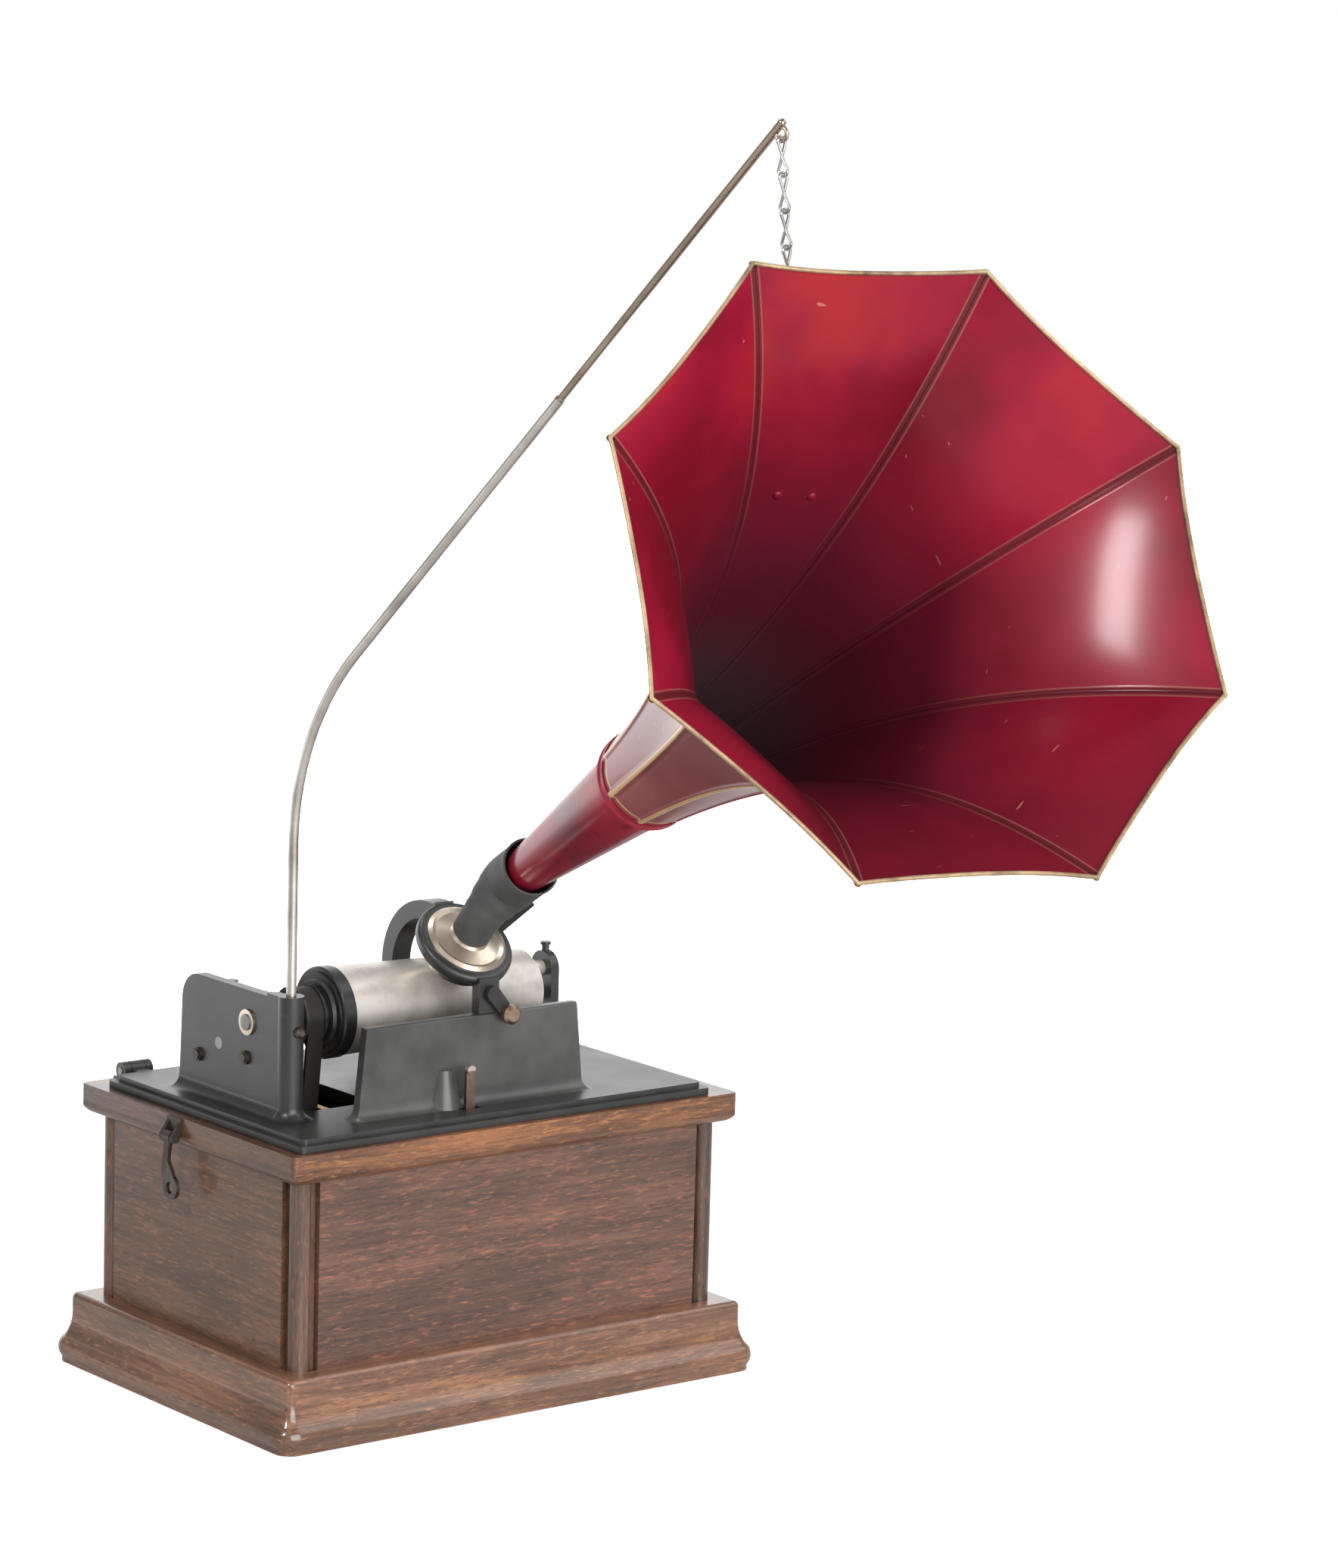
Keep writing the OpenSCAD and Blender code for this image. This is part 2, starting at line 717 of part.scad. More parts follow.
module front_wall() {
  back = front_y + front_wall_thickness;
  boss_x = start_x - 9.5;
  color(japan) difference() {
    union() {
      front_panel();
      translate([front_x0, front_y, bed_top]) cove_strip(front_wall_length);
      translate([front_x1, front_y, bed_top]) rotate(90) cove_strip(front_wall_thickness);
      translate([front_x0, back, bed_top]) rotate(-90) cove_strip(front_wall_thickness);
      translate([front_x1, front_y, bed_top]) rotate(-90) cove_corner();
      translate([front_x0, front_y, bed_top]) rotate(180) cove_corner();
      intersection() {
        translate([boss_x, front_y + 2.5, bed_top]) cylinder(h = 19, r1 = 9.5, r2 = 5);
        translate([boss_x - 10, front_y - 10, bed_top]) cube([20, 11, 30]);
      }
    }
    translate([start_x - 6, start_y - 2, bed_top - 1]) cube([12, 4, 26]);
  }
}

// Posts that carry the mandrel's inner bearing, the back rod and the feed screw
module bearing_post() {
  half = 9;
  color(japan) difference() {
    plate_x(bearing_x, bearing_x + bearing_thickness) {
      translate(mandrel_axis) circle(half);
      translate([axis_y - half, bed_top]) square([2 * half, axis_height]);
    }
    rod_x(bearing_x - 1, bearing_x + bearing_thickness + 1, mandrel_axis, shaft_radius + running_gap);
  }
}

module rear_posts() {
  front = rod_y - 9;
  depth = feed_y - rod_y + 18;
  color(japan) for (x = [rear_left_x - rear_post_thickness, rear_right_x]) difference() {
    union() {
      plate_x(x, x + rear_post_thickness) {
        translate([rod_y, rod_z]) circle(9);
        translate([front, bed_top]) square([18, rod_z - bed_top]);
        translate([front, bed_top]) square([depth, feed_z - bed_top]);
        translate([feed_y, feed_z]) circle(9);
      }
      translate([x + rear_post_thickness / 2, rod_y, rod_z + 8]) cylinder(h = 4, r = 2);
      translate([x + rear_post_thickness / 2, rod_y, rod_z + 12]) cylinder(h = 1.6, r = 2.8);
    }
    rod_x(x - 1, x + rear_post_thickness + 1, [rod_y, rod_z], back_rod_radius);
    rod_x(x - 1, x + rear_post_thickness + 1, feed_axis, feed_screw_radius + running_gap);
  }
}

module back_rod() {
  color(nickel) rod_x(rear_left_x - rear_post_thickness, rear_right_x + rear_post_thickness,
      [rod_y, rod_z], back_rod_radius);
}

module mandrel_bush() {
  color(nickel) difference() {
    union() {
      rod_x(wall_x0 - 1.2, wall_x0, mandrel_axis, shaft_radius + 2.4);
      rod_x(wall_x0, wall_x1, mandrel_axis, shaft_radius + 2);
    }
    rod_x(wall_x0 - 2, wall_x1 + 1, mandrel_axis, shaft_radius + running_gap);
  }
}

module idler_stud() {
  color(steel) {
    rod_x(wall_x0, gear_x + gear_thickness + 0.4, idler, idler_bore);
    rod_x(gear_x + gear_thickness + 0.4, gear_x + gear_thickness + 1.6, idler, idler_bore + 1.6);
  }
}

// Involute spur gear about the origin: teeth, module and the angle of its first tooth
function involute_turn(base, r) = r <= base ? 0 : tan(acos(base / r)) * 180 / PI - acos(base / r);
function tooth_half(teeth, m, r) =
  let (pitch = m * teeth / 2, base = pitch * cos(pressure))
  90 / teeth * (1 - tooth_play) + involute_turn(base, pitch) - involute_turn(base, r);
function polar(r, a) = r * [cos(a), sin(a)];
function tooth_flank(teeth, m) = let (pitch = m * teeth / 2) [pitch - 1.2 * m, pitch, pitch + 0.85 * m];
function gear_outline(teeth, m, turn) = [
  for (k = [0 : teeth - 1])
    let (a = turn + 360 * k / teeth, radii = tooth_flank(teeth, m))
    each concat(
      [for (r = radii) polar(r, a - tooth_half(teeth, m, r))],
      [for (i = [len(radii) - 1 : -1 : 0]) polar(radii[i], a + tooth_half(teeth, m, radii[i]))])
];
// Turn of a gear that meshes with one turned by turn_a, along the bearing from the first centre to the second
function mesh_turn(turn_a, bearing, teeth_a, teeth_b) =
  bearing + 180 - (turn_a - bearing) * teeth_a / teeth_b - 180 / teeth_b;

module gear_x_at(x, p, teeth, m, turn, thickness) {
  translate([x, p[0], p[1]]) rotate([90, 0, 90]) linear_extrude(thickness)
      polygon(gear_outline(teeth, m, turn));
}

// Motor frame hung from the bedplate
motor_outline = [[-50, bed_z], [66, bed_z], [66, bed_z - 102], [-24, bed_z - 102], [-30, bed_z - 94],
    [-50, bed_z - 52]];

module motor_plate_at(x) {
  color(brass) difference() {
    plate_x(x, x + motor_plate) polygon(motor_outline);
    rod_x(x - 1, x + motor_plate + 1, barrel, 5 + running_gap);
    rod_x(x - 1, x + motor_plate + 1, drive, 3 + running_gap);
    rod_x(x - 1, x + motor_plate + 1, governor, 2.5 + running_gap);
    for (p = pillars) rod_x(x - 1, x + motor_plate + 1, p, pillar_radius - 1.5);
  }
}

module motor_plate_left() {
  motor_plate_at(motor_x0);
}

module motor_plate_right() {
  motor_plate_at(motor_x1);
}

module motor_pillars() {
  color(steel) for (p = pillars) {
    rod_x(motor_x0 + motor_plate, motor_x1, p, pillar_radius);
    rod_x(motor_x0 - 0.5, motor_x0 + motor_plate, p, pillar_radius - 1.5);
    rod_x(motor_x1, motor_x1 + motor_plate + 0.5, p, pillar_radius - 1.5);
    rod_x(motor_x0 - 3, motor_x0, p, pillar_radius);
    rod_x(motor_x1 + motor_plate, motor_x1 + motor_plate + 3, p, pillar_radius);
  }
}

module ratchet_housing() {
  x = motor_x1 + motor_plate;
  color(steel) difference() {
    union() {
      rod_x(x, x + 12, barrel, 16);
      rod_x(x + 12, x + 16, barrel, 9);
    }
    rod_x(x - 1, x + 17, barrel, 5 + running_gap);
  }
}

module winding_arbor() {
  color(steel) rod_x(great_x + gear_thickness + 8 + body_gap, inner_x - 0.5 - crank_gap, barrel, 5);
}

// Mainspring barrel: closed drum on its great gear, with a stub in the left plate and a boss on the right
module spring_barrel() {
  turn = drive_bearing;
  color(brass) {
    turned_x(barrel) polygon([[0, great_x - barrel_length], [barrel_radius - 2, great_x - barrel_length],
                              [barrel_radius, great_x - barrel_length + 2], [barrel_radius, great_x],
                                  [0, great_x]]);
    gear_x_at(great_x, barrel, great_teeth, great_module, turn, gear_thickness);
    rod_x(great_x + gear_thickness, great_x + gear_thickness + 8, barrel, 9);
    rod_x(motor_x0, great_x - barrel_length, barrel, 5);
  }
}

drive_turn = mesh_turn(drive_bearing, drive_bearing, great_teeth, pinion_teeth);
governor_turn = mesh_turn(drive_turn, governor_bearing, drive_teeth, pinion_teeth);

module drive_shaft() {
  color(steel) {
    rod_x(pulley_x - 1, motor_x1 + motor_plate, drive, 3);
    gear_x_at(great_x, drive, pinion_teeth, great_module, drive_turn, gear_thickness);
    rod_x(great_x + gear_thickness, motor_x1 - body_gap, drive, 5);
  }
}

module drive_gear() {
  color(brass) difference() {
    union() {
      gear_x_at(drive_gear_x, drive, drive_teeth, drive_module, drive_turn, gear_thickness);
      rod_x(drive_gear_x + gear_thickness, drive_gear_x + gear_thickness + 5, drive, 8);
    }
    rod_x(drive_gear_x - 1, drive_gear_x + gear_thickness + 6, drive, 3);
    for (a = [45 : 90 : 315]) rod_x(drive_gear_x - 1, drive_gear_x + gear_thickness + 1, drive +
        polar(14, a), 4.5);
  }
}

// Flat belt pulley with two thin flanges, on a shaft of the given radius
module pulley(p, r, bore) {
  lip = 1.2;
  color(japan) difference() {
    union() {
      rod_x(pulley_x, pulley_x + pulley_width, p, r);
      rod_x(pulley_x, pulley_x + lip, p, r + belt_thickness + 1);
      rod_x(pulley_x + pulley_width - lip, pulley_x + pulley_width, p, r + belt_thickness + 1);
    }
    rod_x(pulley_x - 1, pulley_x + pulley_width + 1, p, bore);
  }
}

module drive_pulley() {
  pulley(drive, drive_pulley_radius, 3);
}

module mandrel_pulley() {
  pulley(mandrel_axis, mandrel_pulley_radius, shaft_radius);
}

// Belt: a loop round both pulleys, at the given distance outside them
belt_x = pulley_x + (pulley_width - belt_width) / 2;
belt_span = mandrel_axis - drive;
belt_bearing = atan2(belt_span[1], belt_span[0]);
belt_lean = acos((drive_pulley_radius - mandrel_pulley_radius) / norm(belt_span));
belt_steps = 24;
function belt_loop(out) = concat(
  [for (i = [0 : belt_steps])
    drive + polar(drive_pulley_radius + out, belt_bearing + belt_lean +
        (360 - 2 * belt_lean) * i / belt_steps)],
  [for (i = [0 : belt_steps])
    mandrel_axis + polar(mandrel_pulley_radius + out, belt_bearing - belt_lean +
        2 * belt_lean * i / belt_steps)]);

module drive_belt() {
  color("#4a3526") plate_x(belt_x, belt_x + belt_width) difference() {
    polygon(belt_loop(body_gap + belt_thickness));
    polygon(belt_loop(body_gap + running_gap));
  }
}

// Governor: spindle with pinion, a fixed and a sliding collar, three leaf springs with weights, and a
// brake disc
governor_x = great_x - 28;
governor_span = 44;
weight_reach = 12;
disc_x = governor_x + governor_span + 4;

module governor_spindle() {
  color(steel) {
    rod_x(motor_x0, motor_x1 + motor_plate, governor, 2.5);
    gear_x_at(drive_gear_x, governor, pinion_teeth, drive_module, governor_turn, gear_thickness);
    rod_x(governor_x, governor_x + 4, governor, 5.5);
  }
}

module governor_disc() {
  color(brass) difference() {
    union() {
      rod_x(governor_x + governor_span - 4, disc_x, governor, 5.5);
      rod_x(disc_x, disc_x + 2.5, governor, 15);
    }
    rod_x(governor_x, disc_x + 4, governor, 2.5);
  }
}

// Three weights on bowed leaf springs between the collars
module governor_springs() {
  middle = governor_x + governor_span / 2;
  color(steel) for (a = [30, 150, 270]) translate([0, governor[0], governor[1]]) rotate([a, 0, 0])
    rotate([90, 0, 0]) translate([0, 0, -2]) linear_extrude(4)
      polygon([[governor_x + 4, 3], [governor_x + 4, 4.2], [middle - 4, weight_reach],
          [middle + 4, weight_reach],
               [governor_x + governor_span - 4, 4.2], [governor_x + governor_span - 4, 3],
               [middle + 4.4, weight_reach - 1.2], [middle - 4.4, weight_reach - 1.2]]);
}

module governor_weights() {
  middle = governor_x + governor_span / 2;
  color(brass) for (a = [30, 150, 270]) translate([0, governor[0], governor[1]]) rotate([a, 0, 0])
    translate([middle, 0, weight_reach]) cylinder(h = 5, r = 4);
}

// Mandrel on its shaft, with the feed train's first gear at the left end
module mandrel_shaft() {
  color(nickel) {
    rod_x(wall_x0 - 1.8, mandrel_x1 - 2, mandrel_axis, shaft_radius);
    gear_x_at(gear_x, mandrel_axis, feed_teeth, feed_module, idler_bearing, gear_thickness);
  }
}

// Black flange with rings stepped back on its left face
module mandrel_flange() {
  f = flange_x;
  color(japan) difference() {
    turned_x(mandrel_axis) polygon([[0, f - 4.4], [13, f - 4.4], [13, f - 3], [16.5, f - 3],
        [17.5, f - 1.4], [20.5, f - 1.4],
                                    [20.5, f], [flange_radius - 0.8, f], [flange_radius, f + 0.8],
                                        [flange_radius, mandrel_x],
                                    [0, mandrel_x]]);
    rod_x(f - 5, mandrel_x + 1, mandrel_axis, shaft_radius);
  }
}

// Tapered nickel mandrel, hollow from its small end round the hub
module mandrel() {
  hub = shaft_radius + 4;
  web = 8;
  slope = (mandrel_radius - mandrel_tip_radius) / mandrel_length;
  color(nickel) turned_x(mandrel_axis) difference() {
    polygon([[shaft_radius, mandrel_x], [mandrel_radius, mandrel_x], [mandrel_tip_radius, mandrel_x1 - 2],
             [mandrel_tip_radius - 2, mandrel_x1], [shaft_radius, mandrel_x1]]);
    polygon([[hub, mandrel_x + web], [mandrel_radius - mandrel_wall - slope * web, mandrel_x + web],
             [mandrel_tip_radius - mandrel_wall, mandrel_x1 + 1], [hub, mandrel_x1 + 1]]);
  }
}

idler_turn = mesh_turn(idler_bearing, idler_bearing, feed_teeth, idler_teeth);
feed_turn = mesh_turn(idler_turn, idler_feed_bearing, idler_teeth, feed_teeth);

module idler_gear() {
  color(brass) difference() {
    gear_x_at(gear_x, idler, idler_teeth, feed_module, idler_turn, gear_thickness);
    rod_x(gear_x - 1, gear_x + gear_thickness + 1, idler, idler_bore + running_gap);
  }
}

module feed_screw() {
  color(steel) {
    rod_x(gear_x, rear_right_x + rear_post_thickness + 2, feed_axis, feed_screw_radius);
    gear_x_at(gear_x, feed_axis, feed_teeth, feed_module, feed_turn, gear_thickness);
  }
}

// Carriage: a bush that slides on the back rod, and an arm that turns on the bush
module carriage_bush() {
  x0 = ring_x - bush_length / 2;
  end = 3;
  color(nickel) difference() {
    union() {
      rod_x(x0, x0 + bush_length, [rod_y, rod_z], bush_radius);
      rod_x(x0, x0 + end, [rod_y, rod_z], hub_radius);
      rod_x(x0 + bush_length - end, x0 + bush_length, [rod_y, rod_z], hub_radius);
    }
    rod_x(x0 - 1, x0 + bush_length + 1, [rod_y, rod_z], back_rod_radius + running_gap);
  }
}

module on_ring() {
  translate(ring_centre) rotate([ring_lean, 0, 0]) children();
}

// Arm: hub, arched rib over the mandrel, ring round the reproducer with a stay on its right, and a lug
// over the straight edge
module carriage_arm() {
  hub_x = ring_x - hub_length / 2;
  arch_inner = arch_outer - arch_band;
  ring_round = 2.4;
  foot_z = front_top + body_gap;
  lug_y = front_y - 0.6;
  lug_top = ring_centre[2] - 13;
  ring_back = [ring_centre[1], ring_centre[2]] + ring_radius * [cos(ring_lean), sin(ring_lean)];
  color(japan) difference() {
    union() {
      rod_x(hub_x, hub_x + hub_length, [rod_y, rod_z], hub_radius);
      plate_x(arch_x, arch_x + arch_width) {
        difference() {
          translate(arch_centre) circle(arch_outer);
          translate(arch_centre) circle(arch_inner);
          translate(arch_centre - [60, 60]) square([120, 60]);
          translate(arch_centre + [-68, -20]) square([60, 60]);
        }
        polygon([arch_centre + [-7, 36.2], ring_back + [-2, 2.5], ring_back + [-5, -3], arch_centre +
            [-7, 27]]);
        polygon([arch_centre + [arch_inner, 0.5], arch_centre + [arch_inner + 1, -1], [rod_y - 8, rod_z - 5],
                 [rod_y + 6, rod_z - 2], arch_centre + [arch_outer, -1], arch_centre + [arch_outer, 0.5]]);
      }
      on_ring() rotate_extrude() {
        translate([0, -ring_thickness / 2]) square([ring_radius - ring_round, ring_thickness]);
        translate([0, ring_round - ring_thickness / 2])
            square([ring_radius, ring_thickness - 2 * ring_round]);
        for (e = [-1, 1]) translate([ring_radius - ring_round,
            e * (ring_thickness / 2 - ring_round)]) circle(ring_round);
      }
      on_ring() translate([0, 7, 0]) rotate([90, 0, 0]) linear_extrude(2.6)
        polygon([[20, -2.5], [24.5, -2.5], [36.5, 19.5], [33, 23]]);
      translate([ring_x - lug_width / 2, lug_y, foot_z]) cube([lug_width, lug_depth, lug_top - foot_z]);
    }
    rod_x(hub_x - 1, hub_x + hub_length + 1, [rod_y, rod_z], bush_radius + running_gap);
    on_ring() translate([0, 0, -18]) cylinder(h = 18 + ring_thickness, r = reproducer_radius);
    translate([lever_pivot[0], lug_y - 1, lever_pivot[1]]) rotate([-90, 0, 0])
        cylinder(h = lug_depth + 2, r = 1.8);
  }
}

// Half nut under the feed screw, carried by a leaf below the arm's hub
module half_nut() {
  width = 14;
  x0 = ring_x - width / 2;
  color(steel) difference() {
    plate_x(x0, x0 + width) {
      translate([feed_y - 8, feed_z - 10]) square([11, 8]);
      translate([feed_y - 8, feed_z - 10]) square([2.4, rod_z - feed_z + 10]);
    }
    rod_x(x0 - 1, x0 + width + 1, feed_axis, feed_screw_radius + 0.5);
    rod_x(x0 - 1, x0 + width + 1, [rod_y, rod_z], hub_radius);
  }
}

// Reproducer: nickel body with a domed face, a raised rim and the neck for the connector
module reproducer() {
  r = reproducer_radius;
  low = -ring_thickness / 2;
  top = ring_thickness / 2;
  color(nickel) on_ring() rotate_extrude() difference() {
    union() {
      polygon([[0, low + 2.2], [r, low + 2.2], [r, top + 0.6], [r - 2, top + 2], [r - 4, top + 1],
          [neck_radius + 2, top + 3.5],
               [neck_radius, top + 5], [neck_radius, top + neck_length], [0, top + neck_length]]);
      polygon([[r - 3, low - 2], [r, low - 2], [r, low + 2.2], [r - 3, low + 2.2]]);
    }
    translate([-1, low]) square([neck_radius - 1, top + neck_length + 10]);
  }
}

module diaphragm() {
  low = -ring_thickness / 2;
  color(steel) on_ring() translate([0, 0, low + 1]) cylinder(h = 1.1, r = reproducer_radius - 3.1);
}

// Floating weight under the diaphragm, with the stylus bar at its lower edge
module stylus_weight() {
  low = -ring_thickness / 2;
  color(nickel) on_ring() {
    translate([0, 0, low - 6]) difference() {
      cylinder(h = 4, r = reproducer_radius - 2);
      translate([0, 0, -1]) cylinder(h = 6, r = reproducer_radius - 8);
    }
    translate([-1, -reproducer_radius + 7, low - 6]) cube([2, 15, 1.6]);
    translate([0, 0, low - 9]) cylinder(h = 3.2, r1 = 0.5, r2 = 1);
    translate([0, 0, low - 6]) cylinder(h = 6.9, r = 0.8);
    translate([-2.5, reproducer_radius - 6.5, low - 3]) cube([5, 3, 3.9]);
  }
}

// Sweeps a list of rings, each a list of points in space, into a closed solid
function ring_faces(count, sides) = [
  for (i = [0 : count - 2], k = [0 : sides - 1])
    let (a = i * sides + k, b = i * sides + (k + 1) % sides)
    each [[a, a + sides, b], [b, a + sides, b + sides]]
];
function loop_faces(count, sides) = [
  for (i = [0 : count - 1], k = [0 : sides - 1])
    let (j = (i + 1) % count, a = i * sides + k, b = i * sides + (k + 1) % sides,
         c = j * sides + k, d = j * sides + (k + 1) % sides)
    each [[a, c, b], [b, c, d]]
];
function flat(lists) = [for (l = lists) each l];

// Connector: a rubber tube that leaves the neck square and bends into the horn's line, with a lip round
// the horn's end
rubber_sides = 16;
rubber_steps = 7;
rubber_square = 6.3;
rubber_lip = 5;
rubber_start = ring_centre + (ring_thickness / 2 + 5.1) * ring_normal;
rubber_bend = rubber_start + rubber_square * ring_normal;
rubber_end = mouth - (cone_insert + 4) * horn_axis;
function bezier(a, b, c, d, t) =
  pow(1 - t, 3) * a + 3 * t * pow(1 - t, 2) * b + 3 * t * t * (1 - t) * c + pow(t, 3) * d;
rubber_path = concat(
  [rubber_start],
  [for (i = [0 : rubber_steps])
    bezier(rubber_bend, rubber_bend + 13 * ring_normal, rubber_end - 11 * horn_axis, rubber_end,
        i / rubber_steps)],
  [for (back = [rubber_lip + 2, rubber_lip, rubber_lip - 2, 0]) mouth - back * horn_axis]);
rubber_count = len(rubber_path);
rubber_true = 1 / cos(180 / rubber_sides);
neck_bore = (neck_radius + running_gap) * rubber_true;
horn_bore = (cone_radius + rubber_play) * rubber_true;
lip_bore = (cone_radius - rubber_lip * cone_taper + body_gap + running_gap) * rubber_true;
function unit(v) = v / norm(v);
function path_dir(path, i) =
  i == 0 ? unit(path[1] - path[0]) :
  i == len(path) - 1 ? unit(path[i] - path[i - 1]) : unit(path[i + 1] - path[i - 1]);
function rubber_bore(i) =
  i < 3 ? neck_bore :
  i == rubber_count - 3 ? lip_bore :
  i > rubber_steps ? horn_bore : neck_bore + (horn_bore - neck_bore) * (i - 2) / (rubber_steps - 1);
function rubber_outer(i) = (i == rubber_count - 3 ? horn_bore : rubber_bore(i)) + rubber_wall;
function ring_at(p, dir, r, sides) =
  let (side = unit(cross([0, 0, 1], dir)), up = cross(dir, side))
  [for (k = [0 : sides - 1]) p + r * (cos(360 * k / sides) * side + sin(360 * k / sides) * up)];

module rubber_connector() {
  outer = [for (i = [0 : rubber_count - 1]) ring_at(rubber_path[i], path_dir(rubber_path, i),
      rubber_outer(i), rubber_sides)];
  inner = [for (i = [rubber_count - 1 : -1 : 0]) ring_at(rubber_path[i], path_dir(rubber_path, i),
      rubber_bore(i), rubber_sides)];
  color(rubber) polyhedron(flat(concat(outer, inner)), loop_faces(2 * rubber_count, rubber_sides),
      convexity = 6);
}

// Lift lever: pivot pin in the lug, a short arm and a nickel knob
module lift_lever() {
  knob = lever_pivot + lever_reach;
  lug_y = front_y - 0.6;
  color(nickel) {
    translate([lever_pivot[0], lever_y, lever_pivot[1]]) rotate([-90, 0, 0])
        cylinder(h = lug_y - lever_y + lug_depth, r = 1.75);
    translate([0, lever_y, 0]) rotate([90, 0, 0]) linear_extrude(lever_thickness) {
      translate(lever_pivot) circle(4);
      polygon([lever_pivot + [-2, -3.4], knob + [-2.5, -2.5], knob + [2.5, 2.5], lever_pivot + [3, 2.6]]);
      translate(knob) circle(3.4);
    }
    translate([knob[0], lever_y - lever_thickness, knob[1]]) rotate([90, 0, 0]) {
      cylinder(h = 3, r = lift_knob_radius);
      translate([0, 0, 3]) cylinder(h = 1.6, r1 = lift_knob_radius, r2 = lift_knob_radius - 1.6);
    }
  }
}

// Horn, drawn along +Z from the connector's mouth
module along_horn() {
  translate(mouth) rotate([90 - horn_slope, 0, -horn_turn]) rotate(horn_roll) children();
}

module horn_cone() {
  tip = cone_radius - cone_taper * cone_insert;
  color(ruby) along_horn() rotate_extrude() {
    polygon([[tip - cone_sheet, -cone_insert], [tip, -cone_insert], [collar_radius, cone_length],
             [collar_radius - cone_sheet, cone_length]]);
    difference() {
      translate([collar_radius - collar_width * cone_taper - 0.4, cone_length - collar_width])
        square([collar_height + 0.4 + collar_width * cone_taper, collar_width]);
      translate([collar_radius + collar_height + 3.4, cone_length - collar_width / 2]) circle(4);
    }
  }
}

// Bell: corner radius by distance from the collar, and flat-sided sections that round off towards the collar
function flare_share(t) = (exp(flare * t) - 1) / (exp(flare) - 1);
function corner_radius(t) = collar_radius + 1.6 + (bell_radius - collar_radius - 1.6) * flare_share(t);
function middle_radius(t) =
  let (straight = cos(180 / panels), round_off = pow(1 - t, 3))
  corner_radius(t) * (straight + (1 - straight) * round_off) - rim_bow * t * t;
function bell_step(i) = 1 - pow(1 - i / bell_rings, 1.4);
function bell_z(t) = cone_length + 0.05 + bell_length * t;
// Five points per panel: the folded seam's four edges at the corner, then the panel's middle
function bell_point(t, k, inset, fold) =
  let (r = corner_radius(t) - inset, part = k % 5, a = 360 / panels * (floor(k / 5) + 0.5),
       spread = atan2(seam_radius, r) * [-1.6, -0.8, 0.8, 1.6, 0][part],
       turn = part == 4 ? a + 180 / panels : a + spread,
       fall = (1 - t * t * (1 - cos(2 * abs(spread)))) * r,
       reach = part == 4 ? middle_radius(t) - inset : part == 0 || part == 3 ? fall - 0.25 : r + fold)
  [reach * cos(turn), reach * sin(turn), bell_z(t)];
function bell_ring(t, inset, fold) = [for (k = [0 : 5 * panels - 1]) bell_point(t, k, inset, fold)];

module horn_bell() {
  outer = [for (i = [0 : bell_rings]) bell_ring(bell_step(i), 0, seam_fold)];
  inner = [for (i = [bell_rings : -1 : 0]) bell_ring(bell_step(i), sheet, -seam_fold)];
  faces = [for (f = loop_faces(2 * bell_rings + 2, 5 * panels)) [f[0], f[2], f[1]]];
  color(ruby) along_horn() {
    polyhedron(flat(concat(outer, inner)), faces, convexity = 8);
    horn_eye();
  }
}

// Rolled edge round the bell's mouth
module bell_edge() {
  sides = 8;
  count = 2 * panels;
  path = [for (k = [0 : count - 1])
    let (r = (k % 2 == 0 ? corner_radius(1) : middle_radius(1)) - sheet / 2)
    [polar(r, 180 / panels * (k + 1))[0], polar(r, 180 / panels * (k + 1))[1], horn_length + 0.1 + bell_rim]];
  rings = [for (p = path)
    let (out = unit([p[0], p[1], 0]))
    [for (k = [0 : sides - 1]) p + bell_rim * (cos(360 * k / sides) * out +
        sin(360 * k / sides) * [0, 0, 1])]];
  color(gold) along_horn()
    polyhedron(flat(rings), [for (f = loop_faces(count, sides)) [f[0], f[2], f[1]]], convexity = 6);
}

eye_t = 1 - eye_setback / bell_length;
eye_slope = atan((middle_radius(eye_t + 0.01) - middle_radius(eye_t)) / bell_length * 100);
eye_height = middle_radius(eye_t) + eye_radius + eye_wire + 0.3;

// Eye for the chain, on a small pad that lies along the bell's upper panel
module horn_eye() {
  z = horn_length - eye_setback;
  translate([0, eye_height, z]) rotate([0, 90, 0]) rotate_extrude() translate([eye_radius, 0])
      circle(eye_wire);
  translate([0, middle_radius(eye_t), z]) rotate([-eye_slope, 0, 0]) rotate([-90, 0, 0])
      translate([0, 0, -0.5])
    cylinder(h = 2, r = 3.4);
}

// Crane, drawn in the plane of its arm: a straight riser in the socket, a bend, a sloping tube and a
// thinner rod
bend_end = [crane_bend * (1 - cos(bend_turn)), crane_top + crane_bend * sin(bend_turn)];
arm_dir = [cos(crane_slope), sin(crane_slope)];
crane_tip = bend_end + (crane_tube_length + crane_rod_length) * arm_dir;
crane_heading = [sin(crane_turn), -cos(crane_turn), 0];
tip_point = [crane_x, crane_y, 0] + crane_tip[0] * crane_heading + [0, 0, crane_tip[1]];
tip_eye = tip_point + (tip_eye_radius + crane_rod_radius) * [0, 0, -1];

module in_crane_plane() {
  translate([crane_x, crane_y, 0]) rotate(crane_turn - 90) rotate([90, 0, 0]) children();
}

